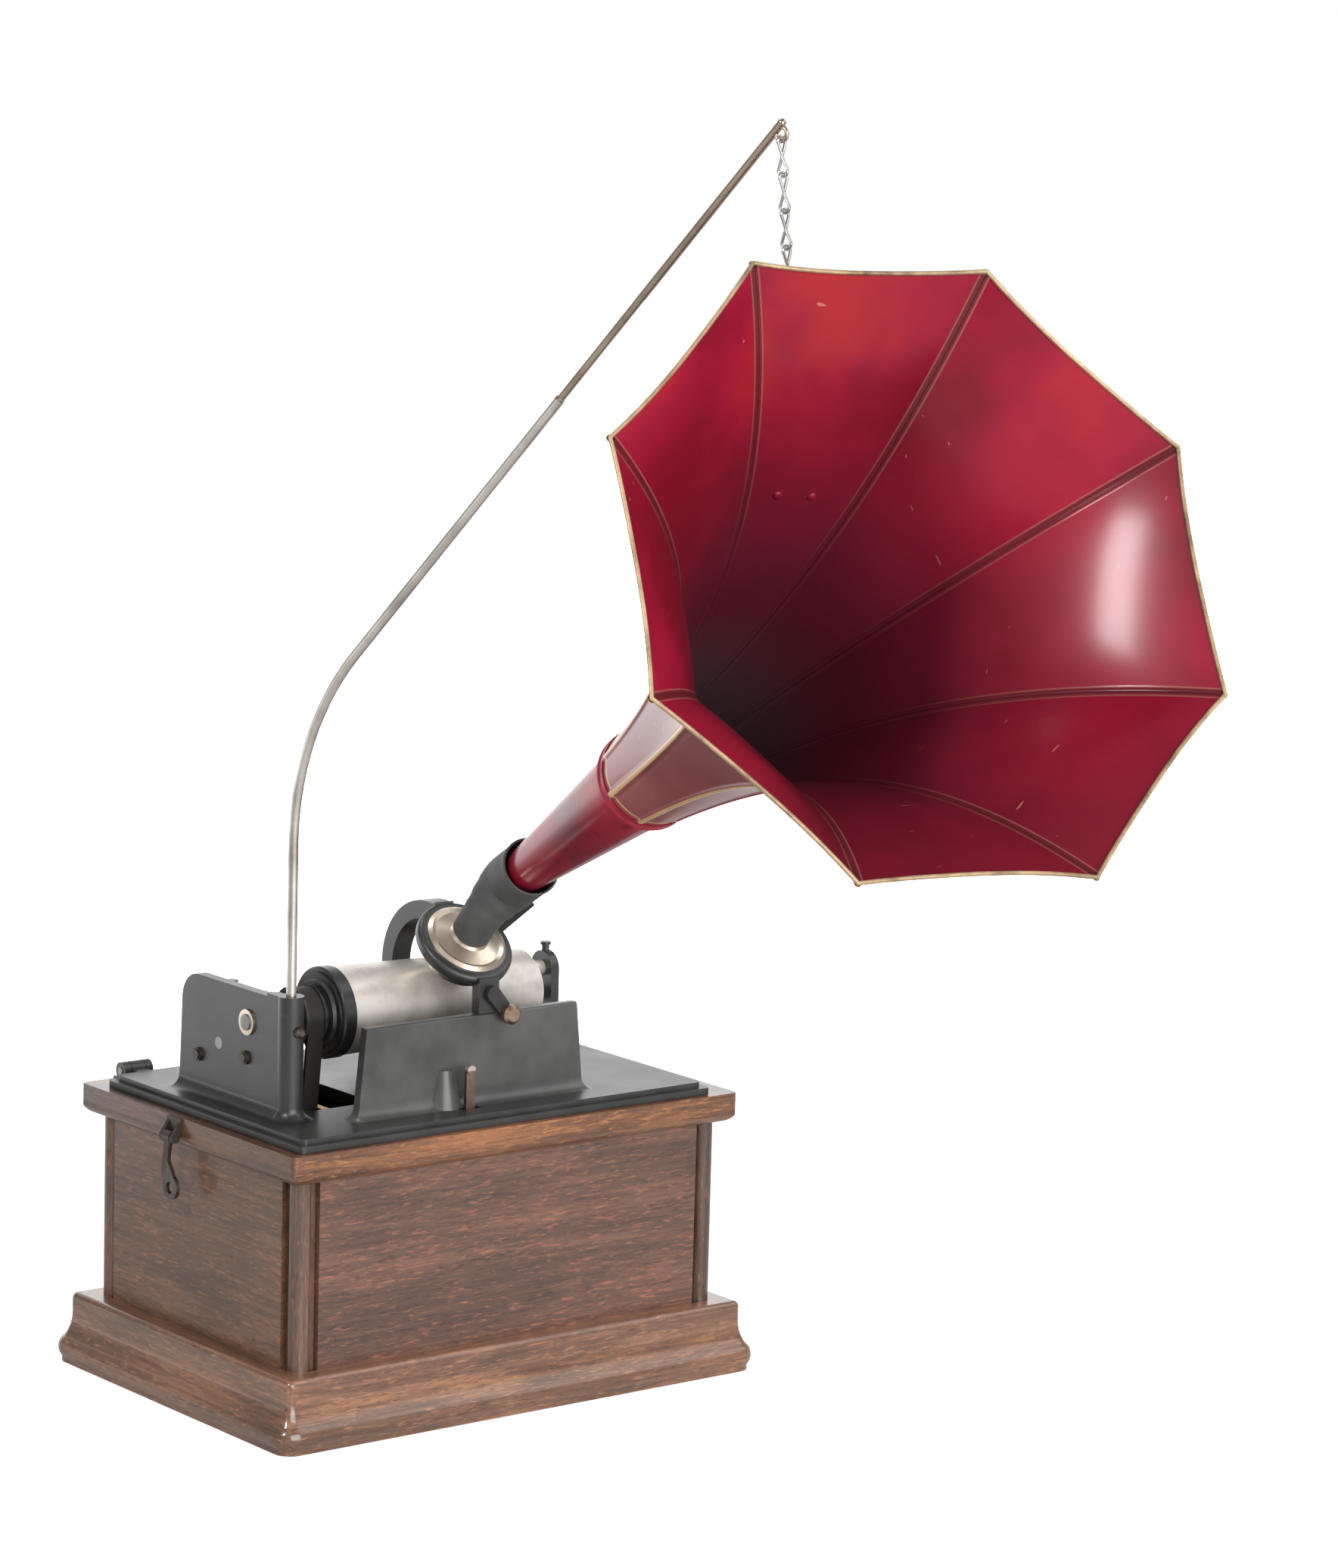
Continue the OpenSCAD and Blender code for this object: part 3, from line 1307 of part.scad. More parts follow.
module crane() {
  foot = post_top - socket_depth + body_gap;
  color(nickel) {
    translate([crane_x, crane_y, foot]) cylinder(h = crane_top - foot, r = crane_radius);
    translate([crane_x, crane_y, crane_top - 2]) cylinder(h = 4, r = crane_rod_radius);
    in_crane_plane() {
      translate([crane_bend, crane_top, 0]) rotate(180 - bend_turn) rotate_extrude(angle = bend_turn)
        translate([crane_bend, 0]) circle(crane_radius);
      translate(bend_end) rotate(crane_slope) rotate([0, 90, 0]) {
        cylinder(h = crane_tube_length, r = crane_radius);
        translate([0, 0, -2]) cylinder(h = crane_tube_length + crane_rod_length + 2, r = crane_rod_radius);
        translate([0, 0, crane_tube_length + crane_rod_length]) sphere(crane_rod_radius);
      }
    }
    translate(tip_eye) rotate(crane_turn - 90) rotate([90, 0, 0])
      rotate_extrude() translate([tip_eye_radius, 0]) circle(tip_eye_wire);
  }
}

// Chain of twisted double-loop links from the crane's tip to a hook in the horn's eye
function to_world(p) =
  let (q = [p[0] * cos(horn_roll) - p[1] * sin(horn_roll), p[0] * sin(horn_roll) + p[1] * cos(horn_roll),
      p[2]],
       s = horn_slope, a = horn_turn,
       r = [q[0], q[1] * sin(s) - q[2] * cos(s), q[1] * cos(s) + q[2] * sin(s)])
  mouth + [r[0] * cos(a) + r[1] * sin(a), r[1] * cos(a) - r[0] * sin(a), r[2]];
eye_point = to_world([0, eye_height, horn_length - eye_setback]);
hook_length = 16;
hook_bend = 4.6;
hook_shift = [0, -1.9, 1.8];
horn_side = [cos(horn_turn), -sin(horn_turn), 0];
loop_radius = 2.6;
chain_play = 0.3;
chain_top = tip_eye - [0, 0, tip_eye_radius - tip_eye_wire - body_gap + chain_play / 2];
chain_end = eye_point - hook_bend * horn_side + hook_shift;
chain_run = chain_end - chain_top;
chain_length = norm(chain_run);
link_pitch = (chain_length - hook_length) / chain_links;
link_half = link_pitch / 2 + chain_wire + chain_play / 2;
chain_heading = atan2(chain_run[1], chain_run[0]);
chain_lean = acos(-chain_run[2] / chain_length);

// One end loop of a link: half a turn of wire drawn in to the crossing
module link_loop() {
  leg = link_half - loop_radius;
  translate([0, 0, leg]) rotate([90, 0, 0]) rotate_extrude(angle = 180) translate([loop_radius, 0])
      circle(chain_wire, $fn = 24);
  for (s = [-1, 1]) rotate([0, s * atan2(loop_radius, leg), 0])
      cylinder(h = norm([loop_radius, leg]), r = chain_wire, $fn = 24);
}

module chain_link() {
  link_loop();
  rotate([180, 0, 90]) link_loop();
}

// Wire hook: a loop in the last link, a shank and a bend that passes through the horn's eye
module chain_hook() {
  ring_z = hook_length + chain_wire + chain_play - loop_radius;
  translate([0, 0, ring_z]) rotate([90, 0, 0]) rotate_extrude() translate([loop_radius, 0])
      circle(chain_wire, $fn = 24);
  translate([0, 0, hook_bend]) cylinder(h = ring_z - loop_radius - hook_bend, r = hook_wire, $fn = 24);
  rotate(-horn_turn - crane_turn) translate([hook_bend, 0, hook_bend]) {
    rotate([90, 180, 0]) rotate_extrude(angle = 180) translate([hook_bend, 0]) circle(hook_wire, $fn = 24);
    translate([hook_bend, 0, 0]) cylinder(h = 1.5, r = hook_wire, $fn = 24);
    translate([-hook_bend, 0, -0.5]) cylinder(h = 1, r = hook_wire - 0.3, $fn = 24);
    translate([hook_bend, 0, -0.5]) cylinder(h = 1, r = hook_wire - 0.3, $fn = 24);
  }
}

module chain() {
  color(steel) translate(chain_top) rotate(chain_heading) rotate([0, -chain_lean, 0])
      rotate(crane_turn - chain_heading) {
    for (i = [0 : chain_links - 1]) translate([0, 0, -(i + 0.5) * link_pitch]) chain_link();
    translate([0, 0, -chain_length]) chain_hook();
  }
}

// Start lever: a flat stem on a rocking shaft under the bedplate, with an arm that lays the brake pad on
// the disc
brake_y = governor[0];
brake_shaft = 2.2;
brake_ys = [start_y + 3, start_y + 9];

module start_lever() {
  stem = 5;
  top = bed_top + 21.6;
  bar = 4;
  leg_x = disc_x - body_gap - bar;
  pad_z = governor[1] + 11.5;
  color(nickel) {
    translate([start_x - stem / 2, start_y - 1, start_pivot_z - 2])
        cube([stem, 2, top - stem / 2 - start_pivot_z + 2]);
    translate([start_x, start_y - 1.8, top - stem / 2]) rotate([-90, 0, 0]) cylinder(h = 2.8, r = stem / 2);
    translate([start_x, start_y - 1, start_pivot_z]) rotate([-90, 0, 0])
      cylinder(h = brake_y + bar / 2 - start_y + 1, r = brake_shaft);
    translate([start_x, brake_y - bar / 2, start_pivot_z - 2]) cube([leg_x + 1 - start_x, bar, 4]);
    translate([leg_x, brake_y - bar / 2, pad_z]) cube([bar - 1, bar, start_pivot_z + 2 - pad_z]);
    translate([leg_x, brake_y - bar / 2, pad_z]) cube([bar, bar, 4]);
  }
}

module brake_bracket() {
  lug = 4;
  color(japan) for (y = brake_ys) difference() {
    translate([start_x - 5, y, start_pivot_z - 5]) cube([10, lug, bed_z - start_pivot_z + 5]);
    translate([start_x, y - 1, start_pivot_z]) rotate([-90, 0, 0])
        cylinder(h = lug + 2, r = brake_shaft + running_gap);
  }
}

base_moulding();
floor_board();
front_board();
rear_board();
left_board();
right_board();
corner_posts();
top_rim();
hinge_leaves();
hinge_pins();
clasp_plates();
crank_bush();
crank_arm();
crank_grip();
clasp_left();
clasp_right();
bedplate();
side_wall();
front_wall();
bearing_post();
rear_posts();
back_rod();
mandrel_bush();
idler_stud();
wall_screws();
brake_bracket();
motor_plate_left();
motor_plate_right();
motor_pillars();
ratchet_housing();
drive_belt();
winding_arbor();
spring_barrel();
drive_shaft();
drive_gear();
drive_pulley();
governor_spindle();
governor_disc();
governor_springs();
governor_weights();
mandrel_shaft();
mandrel_pulley();
mandrel_flange();
mandrel();
idler_gear();
feed_screw();
carriage_bush();
carriage_arm();
half_nut();
reproducer();
diaphragm();
stylus_weight();
rubber_connector();
lift_lever();
horn_cone();
horn_bell();
bell_edge();
crane();
chain();
start_lever();
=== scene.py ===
"""Cylinder phonograph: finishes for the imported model, a panelled horn, its connector and fixings, a studio."""

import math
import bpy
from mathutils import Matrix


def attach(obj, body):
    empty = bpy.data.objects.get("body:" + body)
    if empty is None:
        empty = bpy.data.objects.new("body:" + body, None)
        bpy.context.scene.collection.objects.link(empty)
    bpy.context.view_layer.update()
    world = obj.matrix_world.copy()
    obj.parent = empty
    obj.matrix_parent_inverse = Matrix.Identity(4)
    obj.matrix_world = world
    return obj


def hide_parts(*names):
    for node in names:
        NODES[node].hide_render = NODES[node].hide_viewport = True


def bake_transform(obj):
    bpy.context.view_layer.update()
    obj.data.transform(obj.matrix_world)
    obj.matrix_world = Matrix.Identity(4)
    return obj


bl_info = {
    "name": "Cylinder phonograph",
    "version": (1, 0, 0),
    "blender": (4, 5, 0),
    "location": "View3D > Sidebar > Phonograph",
    "description": "Dresses a spring-driven cylinder phonograph with a panelled horn",
    "category": "Object",
}

import bmesh
import bpy
import numpy as np
from bpy.props import FloatProperty, FloatVectorProperty, PointerProperty, StringProperty
from mathutils import Matrix

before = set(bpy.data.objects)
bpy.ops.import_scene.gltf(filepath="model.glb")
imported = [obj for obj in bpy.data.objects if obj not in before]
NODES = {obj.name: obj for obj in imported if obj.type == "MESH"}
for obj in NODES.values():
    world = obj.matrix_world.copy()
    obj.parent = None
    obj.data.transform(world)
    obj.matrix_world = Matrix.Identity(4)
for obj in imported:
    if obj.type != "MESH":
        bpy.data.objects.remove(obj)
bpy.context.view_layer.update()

# Places that the solids share, in metres: reproducer's ring, connector's mouth, horn's eye, half the case
RING = np.array((-2.4, -46.4971, 226.1739)) / 1000
MOUTH = RING + np.array((7.4, -44.3, 45.6)) / 1000
HORN_EYE = np.array((-39.458, -343.181, 493.629)) / 1000
CASE_HALF = (0.128, 0.0885)

# The ring leans forward; the horn slopes up, turns aside and is rolled a little about its own axis
LEAN = math.radians(40)
SLOPE = math.radians(27.4)
TURN = math.radians(10.7)
ROLL = math.radians(-2.3)
RING_NORMAL = np.array((0, -math.sin(LEAN), math.cos(LEAN)))
HORN_AXIS = np.array((-math.cos(SLOPE) * math.sin(TURN), -math.cos(SLOPE) * math.cos(TURN), math.sin(SLOPE)))
LEVEL_SIDE = np.array((math.cos(TURN), -math.sin(TURN), 0))
LEVEL_UP = np.cross(HORN_AXIS, LEVEL_SIDE)
HORN_SIDE = LEVEL_SIDE * math.cos(ROLL) + LEVEL_UP * math.sin(ROLL)
HORN_UP = LEVEL_UP * math.cos(ROLL) - LEVEL_SIDE * math.sin(ROLL)


def srgb(code):
    """Turns a six-digit sRGB hex value into the linear colour that a socket takes."""
    v = np.array([int(code[i:i + 2], 16) for i in (1, 3, 5)]) / 255
    v = np.where(v <= 0.04045, v / 12.92, ((v + 0.055) / 1.055) ** 2.4)
    return (*v.tolist(), 1.0)


# Surfaces

def skin(name, grid, close_rows=False, close_columns=False, uv=None, flip=False):
    """Makes a mesh object from a grid of points, one quad per cell.

    A closed direction joins its last line to its first. flip turns the faces over."""
    rows, columns = grid.shape[:2]
    i = np.arange(rows if close_rows else rows - 1)[:, None]
    j = np.arange(columns if close_columns else columns - 1)[None, :]
    i2, j2 = (i + 1) % rows, (j + 1) % columns
    corners = [i * columns + j, i * columns + j2, i2 * columns + j2, i2 * columns + j]
    quads = np.stack(corners, axis=-1).reshape(-1, 4)
    if flip:
        quads = quads[:, ::-1]
    mesh = bpy.data.meshes.new(name)
    mesh.from_pydata(grid.reshape(-1, 3).tolist(), [], quads.tolist())
    if uv is not None:
        layer = mesh.uv_layers.new(name="place")
        layer.uv.foreach_set("vector", uv.reshape(-1, 2)[quads.reshape(-1)].reshape(-1).astype(np.float32))
    mesh.polygons.foreach_set("use_smooth", np.ones(len(quads), dtype=bool))
    mesh.update()
    obj = bpy.data.objects.new(name, mesh)
    bpy.context.scene.collection.objects.link(obj)
    return obj


def join(name, objects):
    """Joins several new objects into the first of them, under a new name."""
    for o in bpy.context.selected_objects:
        o.select_set(False)
    for o in objects:
        o.select_set(True)
    obj = objects[0]
    bpy.context.view_layer.objects.active = obj
    bpy.ops.object.join()
    obj.name = obj.data.name = name
    obj.select_set(False)
    return obj


def weld(obj):
    """Merges points within a thousandth of a millimetre and turns every face outwards."""
    work = bmesh.new()
    work.from_mesh(obj.data)
    bmesh.ops.remove_doubles(work, verts=work.verts, dist=1e-6)
    bmesh.ops.recalc_face_normals(work, faces=work.faces)
    work.to_mesh(obj.data)
    work.free()
    obj.data.update()
    return obj


def frame_across(axis):
    """A unit vector along an axis, and two unit vectors square to it."""
    axis = np.asarray(axis, float) / np.linalg.norm(axis)
    helper = np.array((0, 0, 1.0)) if abs(axis[2]) < 0.9 else np.array((1.0, 0, 0))
    side = np.cross(helper, axis)
    side /= np.linalg.norm(side)
    return axis, side, np.cross(axis, side)


def turned(name, profile, foot, axis, steps):
    """A turned piece: each profile point is a radius and a height, carried round the axis from its foot."""
    axis, side, up = frame_across(axis)
    a = np.linspace(0, 2 * np.pi, steps, endpoint=False)
    profile = np.asarray(profile, float)
    ring = np.cos(a)[:, None] * side + np.sin(a)[:, None] * up
    grid = np.asarray(foot) + profile[:, 0, None, None] * ring[None] + profile[:, 1, None, None] * axis
    return weld(skin(name, grid, close_columns=True))


def swept(path, radii, sides):
    """A tube's points: circles of the given radii stand square to the path at each of its points."""
    along = np.gradient(path, axis=0)
    along /= np.linalg.norm(along, axis=1)[:, None]
    side = np.cross(np.array((0, 0, 1.0)), along)
    side /= np.linalg.norm(side, axis=1)[:, None]
    up = np.cross(along, side)
    a = np.linspace(0, 2 * np.pi, sides, endpoint=False)
    ring = np.cos(a)[None, :, None] * side[:, None] + np.sin(a)[None, :, None] * up[:, None]
    return path[:, None] + radii[:, None, None] * ring


def normal_at(grid, row, column, out):
    """A grid's unit normal at one point, on the side of out: the cross product of its two directions there."""
    lengthwise = grid[row + 1, column] - grid[row - 1, column]
    crosswise = grid[row, column + 1] - grid[row, column - 1]
    normal = np.cross(lengthwise, crosswise)
    return normal * (np.sign(normal @ out) / np.linalg.norm(normal))


# Materials

def feed(tree, node, inputs):
    """Gives each input of a node its value, or a link where the value is another node's output."""
    for key, value in inputs.items():
        if isinstance(value, bpy.types.NodeSocket):
            tree.links.new(value, node.inputs[key])
        else:
            node.inputs[key].default_value = value


def add(tree, kind, inputs=None, stops=None, **settings):
    """Adds a node with its settings and inputs. stops fills a colour ramp with places and colours."""
    made = tree.nodes.new(kind)
    for key, value in settings.items():
        setattr(made, key, value)
    feed(tree, made, inputs or {})
    if stops:
        ramp = made.color_ramp
        while len(ramp.elements) < len(stops):
            ramp.elements.new(0.5)
        for element, (place, colour) in zip(ramp.elements, stops):
            element.position = place
            element.color = colour
    return made


def grey(v):
    """A grey for a ramp that carries a number."""
    return (v, v, v, 1.0)


def begin(name):
    """A new material with its tree, shader and Object coordinates."""
    material = bpy.data.materials.new(name)
    material.use_nodes = True
    tree = material.node_tree
    tree.nodes.clear()
    shader = add(tree, "ShaderNodeBsdfPrincipled")
    add(tree, "ShaderNodeOutputMaterial", {"Surface": shader.outputs[0]})
    place = add(tree, "ShaderNodeTexCoord").outputs["Object"]
    return material, tree, shader, place


# Oak marks: length along the grain and height across it in millimetres, then noise detail, roughness and wave.
# The pores are drawn wider than real ones, which are too fine to show
OAK_MARKS = {
    "bands": (110, 22, 3, 0.5, 0.8),
    "streaks": (60, 2.4, 4, 0.6, 0.3),
    "flecks": (7.5, 1.15, 2, 0.5, 0.5),
    "pores": (6, 0.8, 1, 0.5, 0),
}

# Numbers of the coordinates along the grain and the two across it
GRAIN_ORDER = {"X": (0, 1, 2), "Y": (1, 0, 2), "Z": (2, 0, 1), "frame": (0, 1, 2)}


def fumed_oak(name, tones, fleck, grain, seed, shine, coat=0.4, sides=1.0):
    """Quarter-sawn oak, fumed and varnished: brown bands and streaks along the grain, short dark pores and
    red-brown ray flecks.

    grain is the axis along the grain, or "frame" for a moulding whose grain follows each side of the case.
    sides darkens the side runs of such a moulding, as painted shade."""
    material, tree, shader, place = begin(name)
    part = add(tree, "ShaderNodeSeparateXYZ", {"Vector": place}).outputs
    order = GRAIN_ORDER[grain]
    along = add(tree, "ShaderNodeCombineXYZ", {i: part[k] for i, k in enumerate(order)}).outputs[0]
    if grain == "frame":
        # Side runs lie outside the case's width by more than they lie outside its depth
        over = []
        for k, half in enumerate(CASE_HALF):
            size = add(tree, "ShaderNodeMath", {0: part[k]}, operation="ABSOLUTE")
            over.append(add(tree, "ShaderNodeMath", {0: size.outputs[0], 1: half}, operation="SUBTRACT"))
        beside = add(tree, "ShaderNodeMath", {0: over[0].outputs[0], 1: over[1].outputs[0]},
                     operation="GREATER_THAN").outputs[0]
        across = add(tree, "ShaderNodeCombineXYZ", {"X": part[1], "Y": part[0], "Z": part[2]})
        along = add(tree, "ShaderNodeMix", {"Factor": beside, "A": along, "B": across.outputs[0]},
                    data_type="VECTOR").outputs["Result"]
    marks = {}
    for kind, (length, height, detail, rough, wave) in OAK_MARKS.items():
        moved = add(tree, "ShaderNodeMapping", {
            "Vector": along, "Location": (seed, seed * 1.7, seed * 0.6),
            "Scale": (1000 / length, 1000 / height, 1000 / height)})
        marks[kind] = add(tree, "ShaderNodeTexNoise", {
            "Vector": moved.outputs[0], "Scale": 1.0, "Detail": detail, "Roughness": rough,
            "Distortion": wave}).outputs[0]
    both = add(tree, "ShaderNodeMath", {0: marks["bands"], 1: marks["streaks"]}, operation="ADD")
    shade = add(tree, "ShaderNodeMath", {0: both.outputs[0], 1: 0.5}, operation="MULTIPLY")
    tone = add(tree, "ShaderNodeValToRGB", {"Fac": shade.outputs[0]},
               stops=[(0.38, srgb(tones[0])), (0.5, srgb(tones[1])), (0.62, srgb(tones[2]))])
    # Flecks crowd in the pale bands
    thick = add(tree, "ShaderNodeMapRange", {
        "Value": marks["bands"], "From Min": 0.35, "From Max": 0.65, "To Min": -0.03, "To Max": 0.03})
    crowd = add(tree, "ShaderNodeMath", {0: marks["flecks"], 1: thick.outputs[0]}, operation="ADD")
    spot = add(tree, "ShaderNodeValToRGB", {"Fac": crowd.outputs[0]},
               stops=[(0.55, grey(0)), (0.72, grey(0.7))])
    redder = add(tree, "ShaderNodeMix", {
        "Factor": spot.outputs[0], "A": tone.outputs[0], "B": srgb(fleck)}, data_type="RGBA")
    hole = add(tree, "ShaderNodeValToRGB", {"Fac": marks["pores"]},
               stops=[(0.3, grey(0.62)), (0.42, grey(1))])
    colour = add(tree, "ShaderNodeMix", {
        "Factor": 1.0, "A": redder.outputs["Result"], "B": hole.outputs[0]},
        data_type="RGBA", blend_type="MULTIPLY").outputs["Result"]
    if grain == "frame":
        # Painted shade: the side runs are darkened by sides
        side_shade = add(tree, "ShaderNodeMapRange", {"Value": beside, "To Min": 1.0, "To Max": sides})
        colour = add(tree, "ShaderNodeMix", {"Factor": 1.0, "A": colour, "B": side_shade.outputs[0]},
                     data_type="RGBA", blend_type="MULTIPLY").outputs["Result"]
    height = add(tree, "ShaderNodeMath", {0: marks["streaks"], 1: hole.outputs[0]}, operation="ADD")
    bump = add(tree, "ShaderNodeBump", {"Height": height.outputs[0], "Strength": 0.14, "Distance": 0.0005})
    rough = add(tree, "ShaderNodeMapRange", {
        "Value": marks["bands"], "To Min": shine, "To Max": shine + 0.16})
    feed(tree, shader, {
        "Base Color": colour, "Roughness": rough.outputs[0], "Normal": bump.outputs[0], "IOR": 1.5,
        "Coat Weight": coat, "Coat Roughness": 0.11})
    return material


def japan_black(name, pale, dark):
    """Cast iron dipped in stoved black japan: a deep, slightly green black with a soft gloss, dust and small
    worn spots."""
    material, tree, shader, place = begin(name)
    # Cloudy gloss about 30 mm across and worn spots a few millimetres across; the casting grain is about 2 mm
    # across, coarser than a real one, so that it shows
    cloud = add(tree, "ShaderNodeTexNoise", {"Vector": place, "Scale": 34.0, "Detail": 4.0})
    cast = add(tree, "ShaderNodeTexNoise", {"Vector": place, "Scale": 480.0, "Detail": 2.0})
    wear = add(tree, "ShaderNodeTexNoise", {"Vector": place, "Scale": 150.0, "Detail": 6.0, "Roughness": 0.7})
    tone = add(tree, "ShaderNodeValToRGB", {"Fac": cloud.outputs[0]},
               stops=[(0.3, srgb(dark)), (0.7, srgb(pale))])
    spots = add(tree, "ShaderNodeValToRGB", {"Fac": wear.outputs[0]},
                stops=[(0.69, grey(0)), (0.73, grey(0.75))])
    colour = add(tree, "ShaderNodeMix", {
        "Factor": spots.outputs[0], "A": tone.outputs[0], "B": srgb("#6a5f50")}, data_type="RGBA")
    rough = add(tree, "ShaderNodeMapRange", {"Value": cloud.outputs[0], "To Min": 0.3, "To Max": 0.52})
    bump = add(tree, "ShaderNodeBump", {"Height": cast.outputs[0], "Strength": 0.12, "Distance": 0.0004})
    feed(tree, shader, {
        "Base Color": colour.outputs["Result"], "Roughness": rough.outputs[0], "Normal": bump.outputs[0],
        "IOR": 1.55, "Coat Weight": 0.3, "Coat Roughness": 0.25})
    return material


def plated(name, pale, dark, lines, shine, grit=0.0, metal=1.0, beyond=None):
    """Bright metal: polished or turned, clouded with age in patches about 20 mm across.

    lines is how many turning marks lie in a metre along X, far fewer than real ones, so that they show. grit
    adds to their depth. beyond gives an axis, a place on it in metres, a pale and a dark tone and a metal share
    for the finish past that place."""
    material, tree, shader, place = begin(name)
    cloud = add(tree, "ShaderNodeTexNoise", {"Vector": place, "Scale": 46.0, "Detail": 5.0, "Roughness": 0.6})
    drawn = add(tree, "ShaderNodeMapping", {"Vector": place, "Scale": (lines, 8, 8)})
    marks = add(tree, "ShaderNodeTexNoise", {"Vector": drawn.outputs[0], "Scale": 1.0, "Detail": 3.0})
    both = add(tree, "ShaderNodeMath", {0: cloud.outputs[0], 1: marks.outputs[0]}, operation="ADD")
    share = add(tree, "ShaderNodeMath", {0: both.outputs[0], 1: 0.5}, operation="MULTIPLY").outputs[0]
    colour = add(tree, "ShaderNodeValToRGB", {"Fac": share},
                 stops=[(0.34, srgb(dark)), (0.56, srgb(pale))]).outputs[0]
    feed(tree, shader, {"Metallic": metal})
    if beyond:
        axis, edge, past_pale, past_dark, past_metal = beyond
        part = add(tree, "ShaderNodeSeparateXYZ", {"Vector": place}).outputs[axis]
        past = add(tree, "ShaderNodeMath", {0: part, 1: edge}, operation="GREATER_THAN").outputs[0]
        other = add(tree, "ShaderNodeValToRGB", {"Fac": share},
                    stops=[(0.34, srgb(past_dark)), (0.56, srgb(past_pale))])
        colour = add(tree, "ShaderNodeMix", {"Factor": past, "A": colour, "B": other.outputs[0]},
                     data_type="RGBA").outputs["Result"]
        if past_metal != metal:
            bare = add(tree, "ShaderNodeMapRange", {"Value": past, "To Min": metal, "To Max": past_metal})
            feed(tree, shader, {"Metallic": bare.outputs[0]})
    rough = add(tree, "ShaderNodeMapRange", {
        "Value": cloud.outputs[0], "From Min": 0.3, "From Max": 0.7, "To Min": shine + 0.16, "To Max": shine})
    bump = add(tree, "ShaderNodeBump", {
        "Height": marks.outputs[0], "Strength": 0.06 + grit, "Distance": 0.0003})
    feed(tree, shader, {"Base Color": colour, "Roughness": rough.outputs[0], "Normal": bump.outputs[0]})
    return material


def soft_black(name, pale, dark, shine, grain):
    """Rubber, leather or ebonised wood: a matt skin with fine grain and clouds about 17 mm across.

    grain is its grains per metre, about one to a millimetre, coarser than real ones, so that they show."""
    material, tree, shader, place = begin(name)
    fine = add(tree, "ShaderNodeTexNoise", {"Vector": place, "Scale": grain, "Detail": 4.0})
    broad = add(tree, "ShaderNodeTexNoise", {"Vector": place, "Scale": 60.0, "Detail": 3.0})
    tone = add(tree, "ShaderNodeValToRGB", {"Fac": broad.outputs[0]},
               stops=[(0.3, srgb(dark)), (0.7, srgb(pale))])
    bump = add(tree, "ShaderNodeBump", {"Height": fine.outputs[0], "Strength": 0.2, "Distance": 0.0004})
    rough = add(tree, "ShaderNodeMapRange", {
        "Value": fine.outputs[0], "To Min": shine - 0.08, "To Max": shine + 0.08})
    feed(tree, shader, {
        "Base Color": tone.outputs[0], "Roughness": rough.outputs[0], "Normal": bump.outputs[0]})
    return material


# On a bell panel, in metres: a folded seam's edge from its middle, and the gold line round the collar's end
# from the mouth
SEAM_EDGE = 0.0025
COLLAR_LINE = 0.2718
CHIPPED = "#6a4a4a"


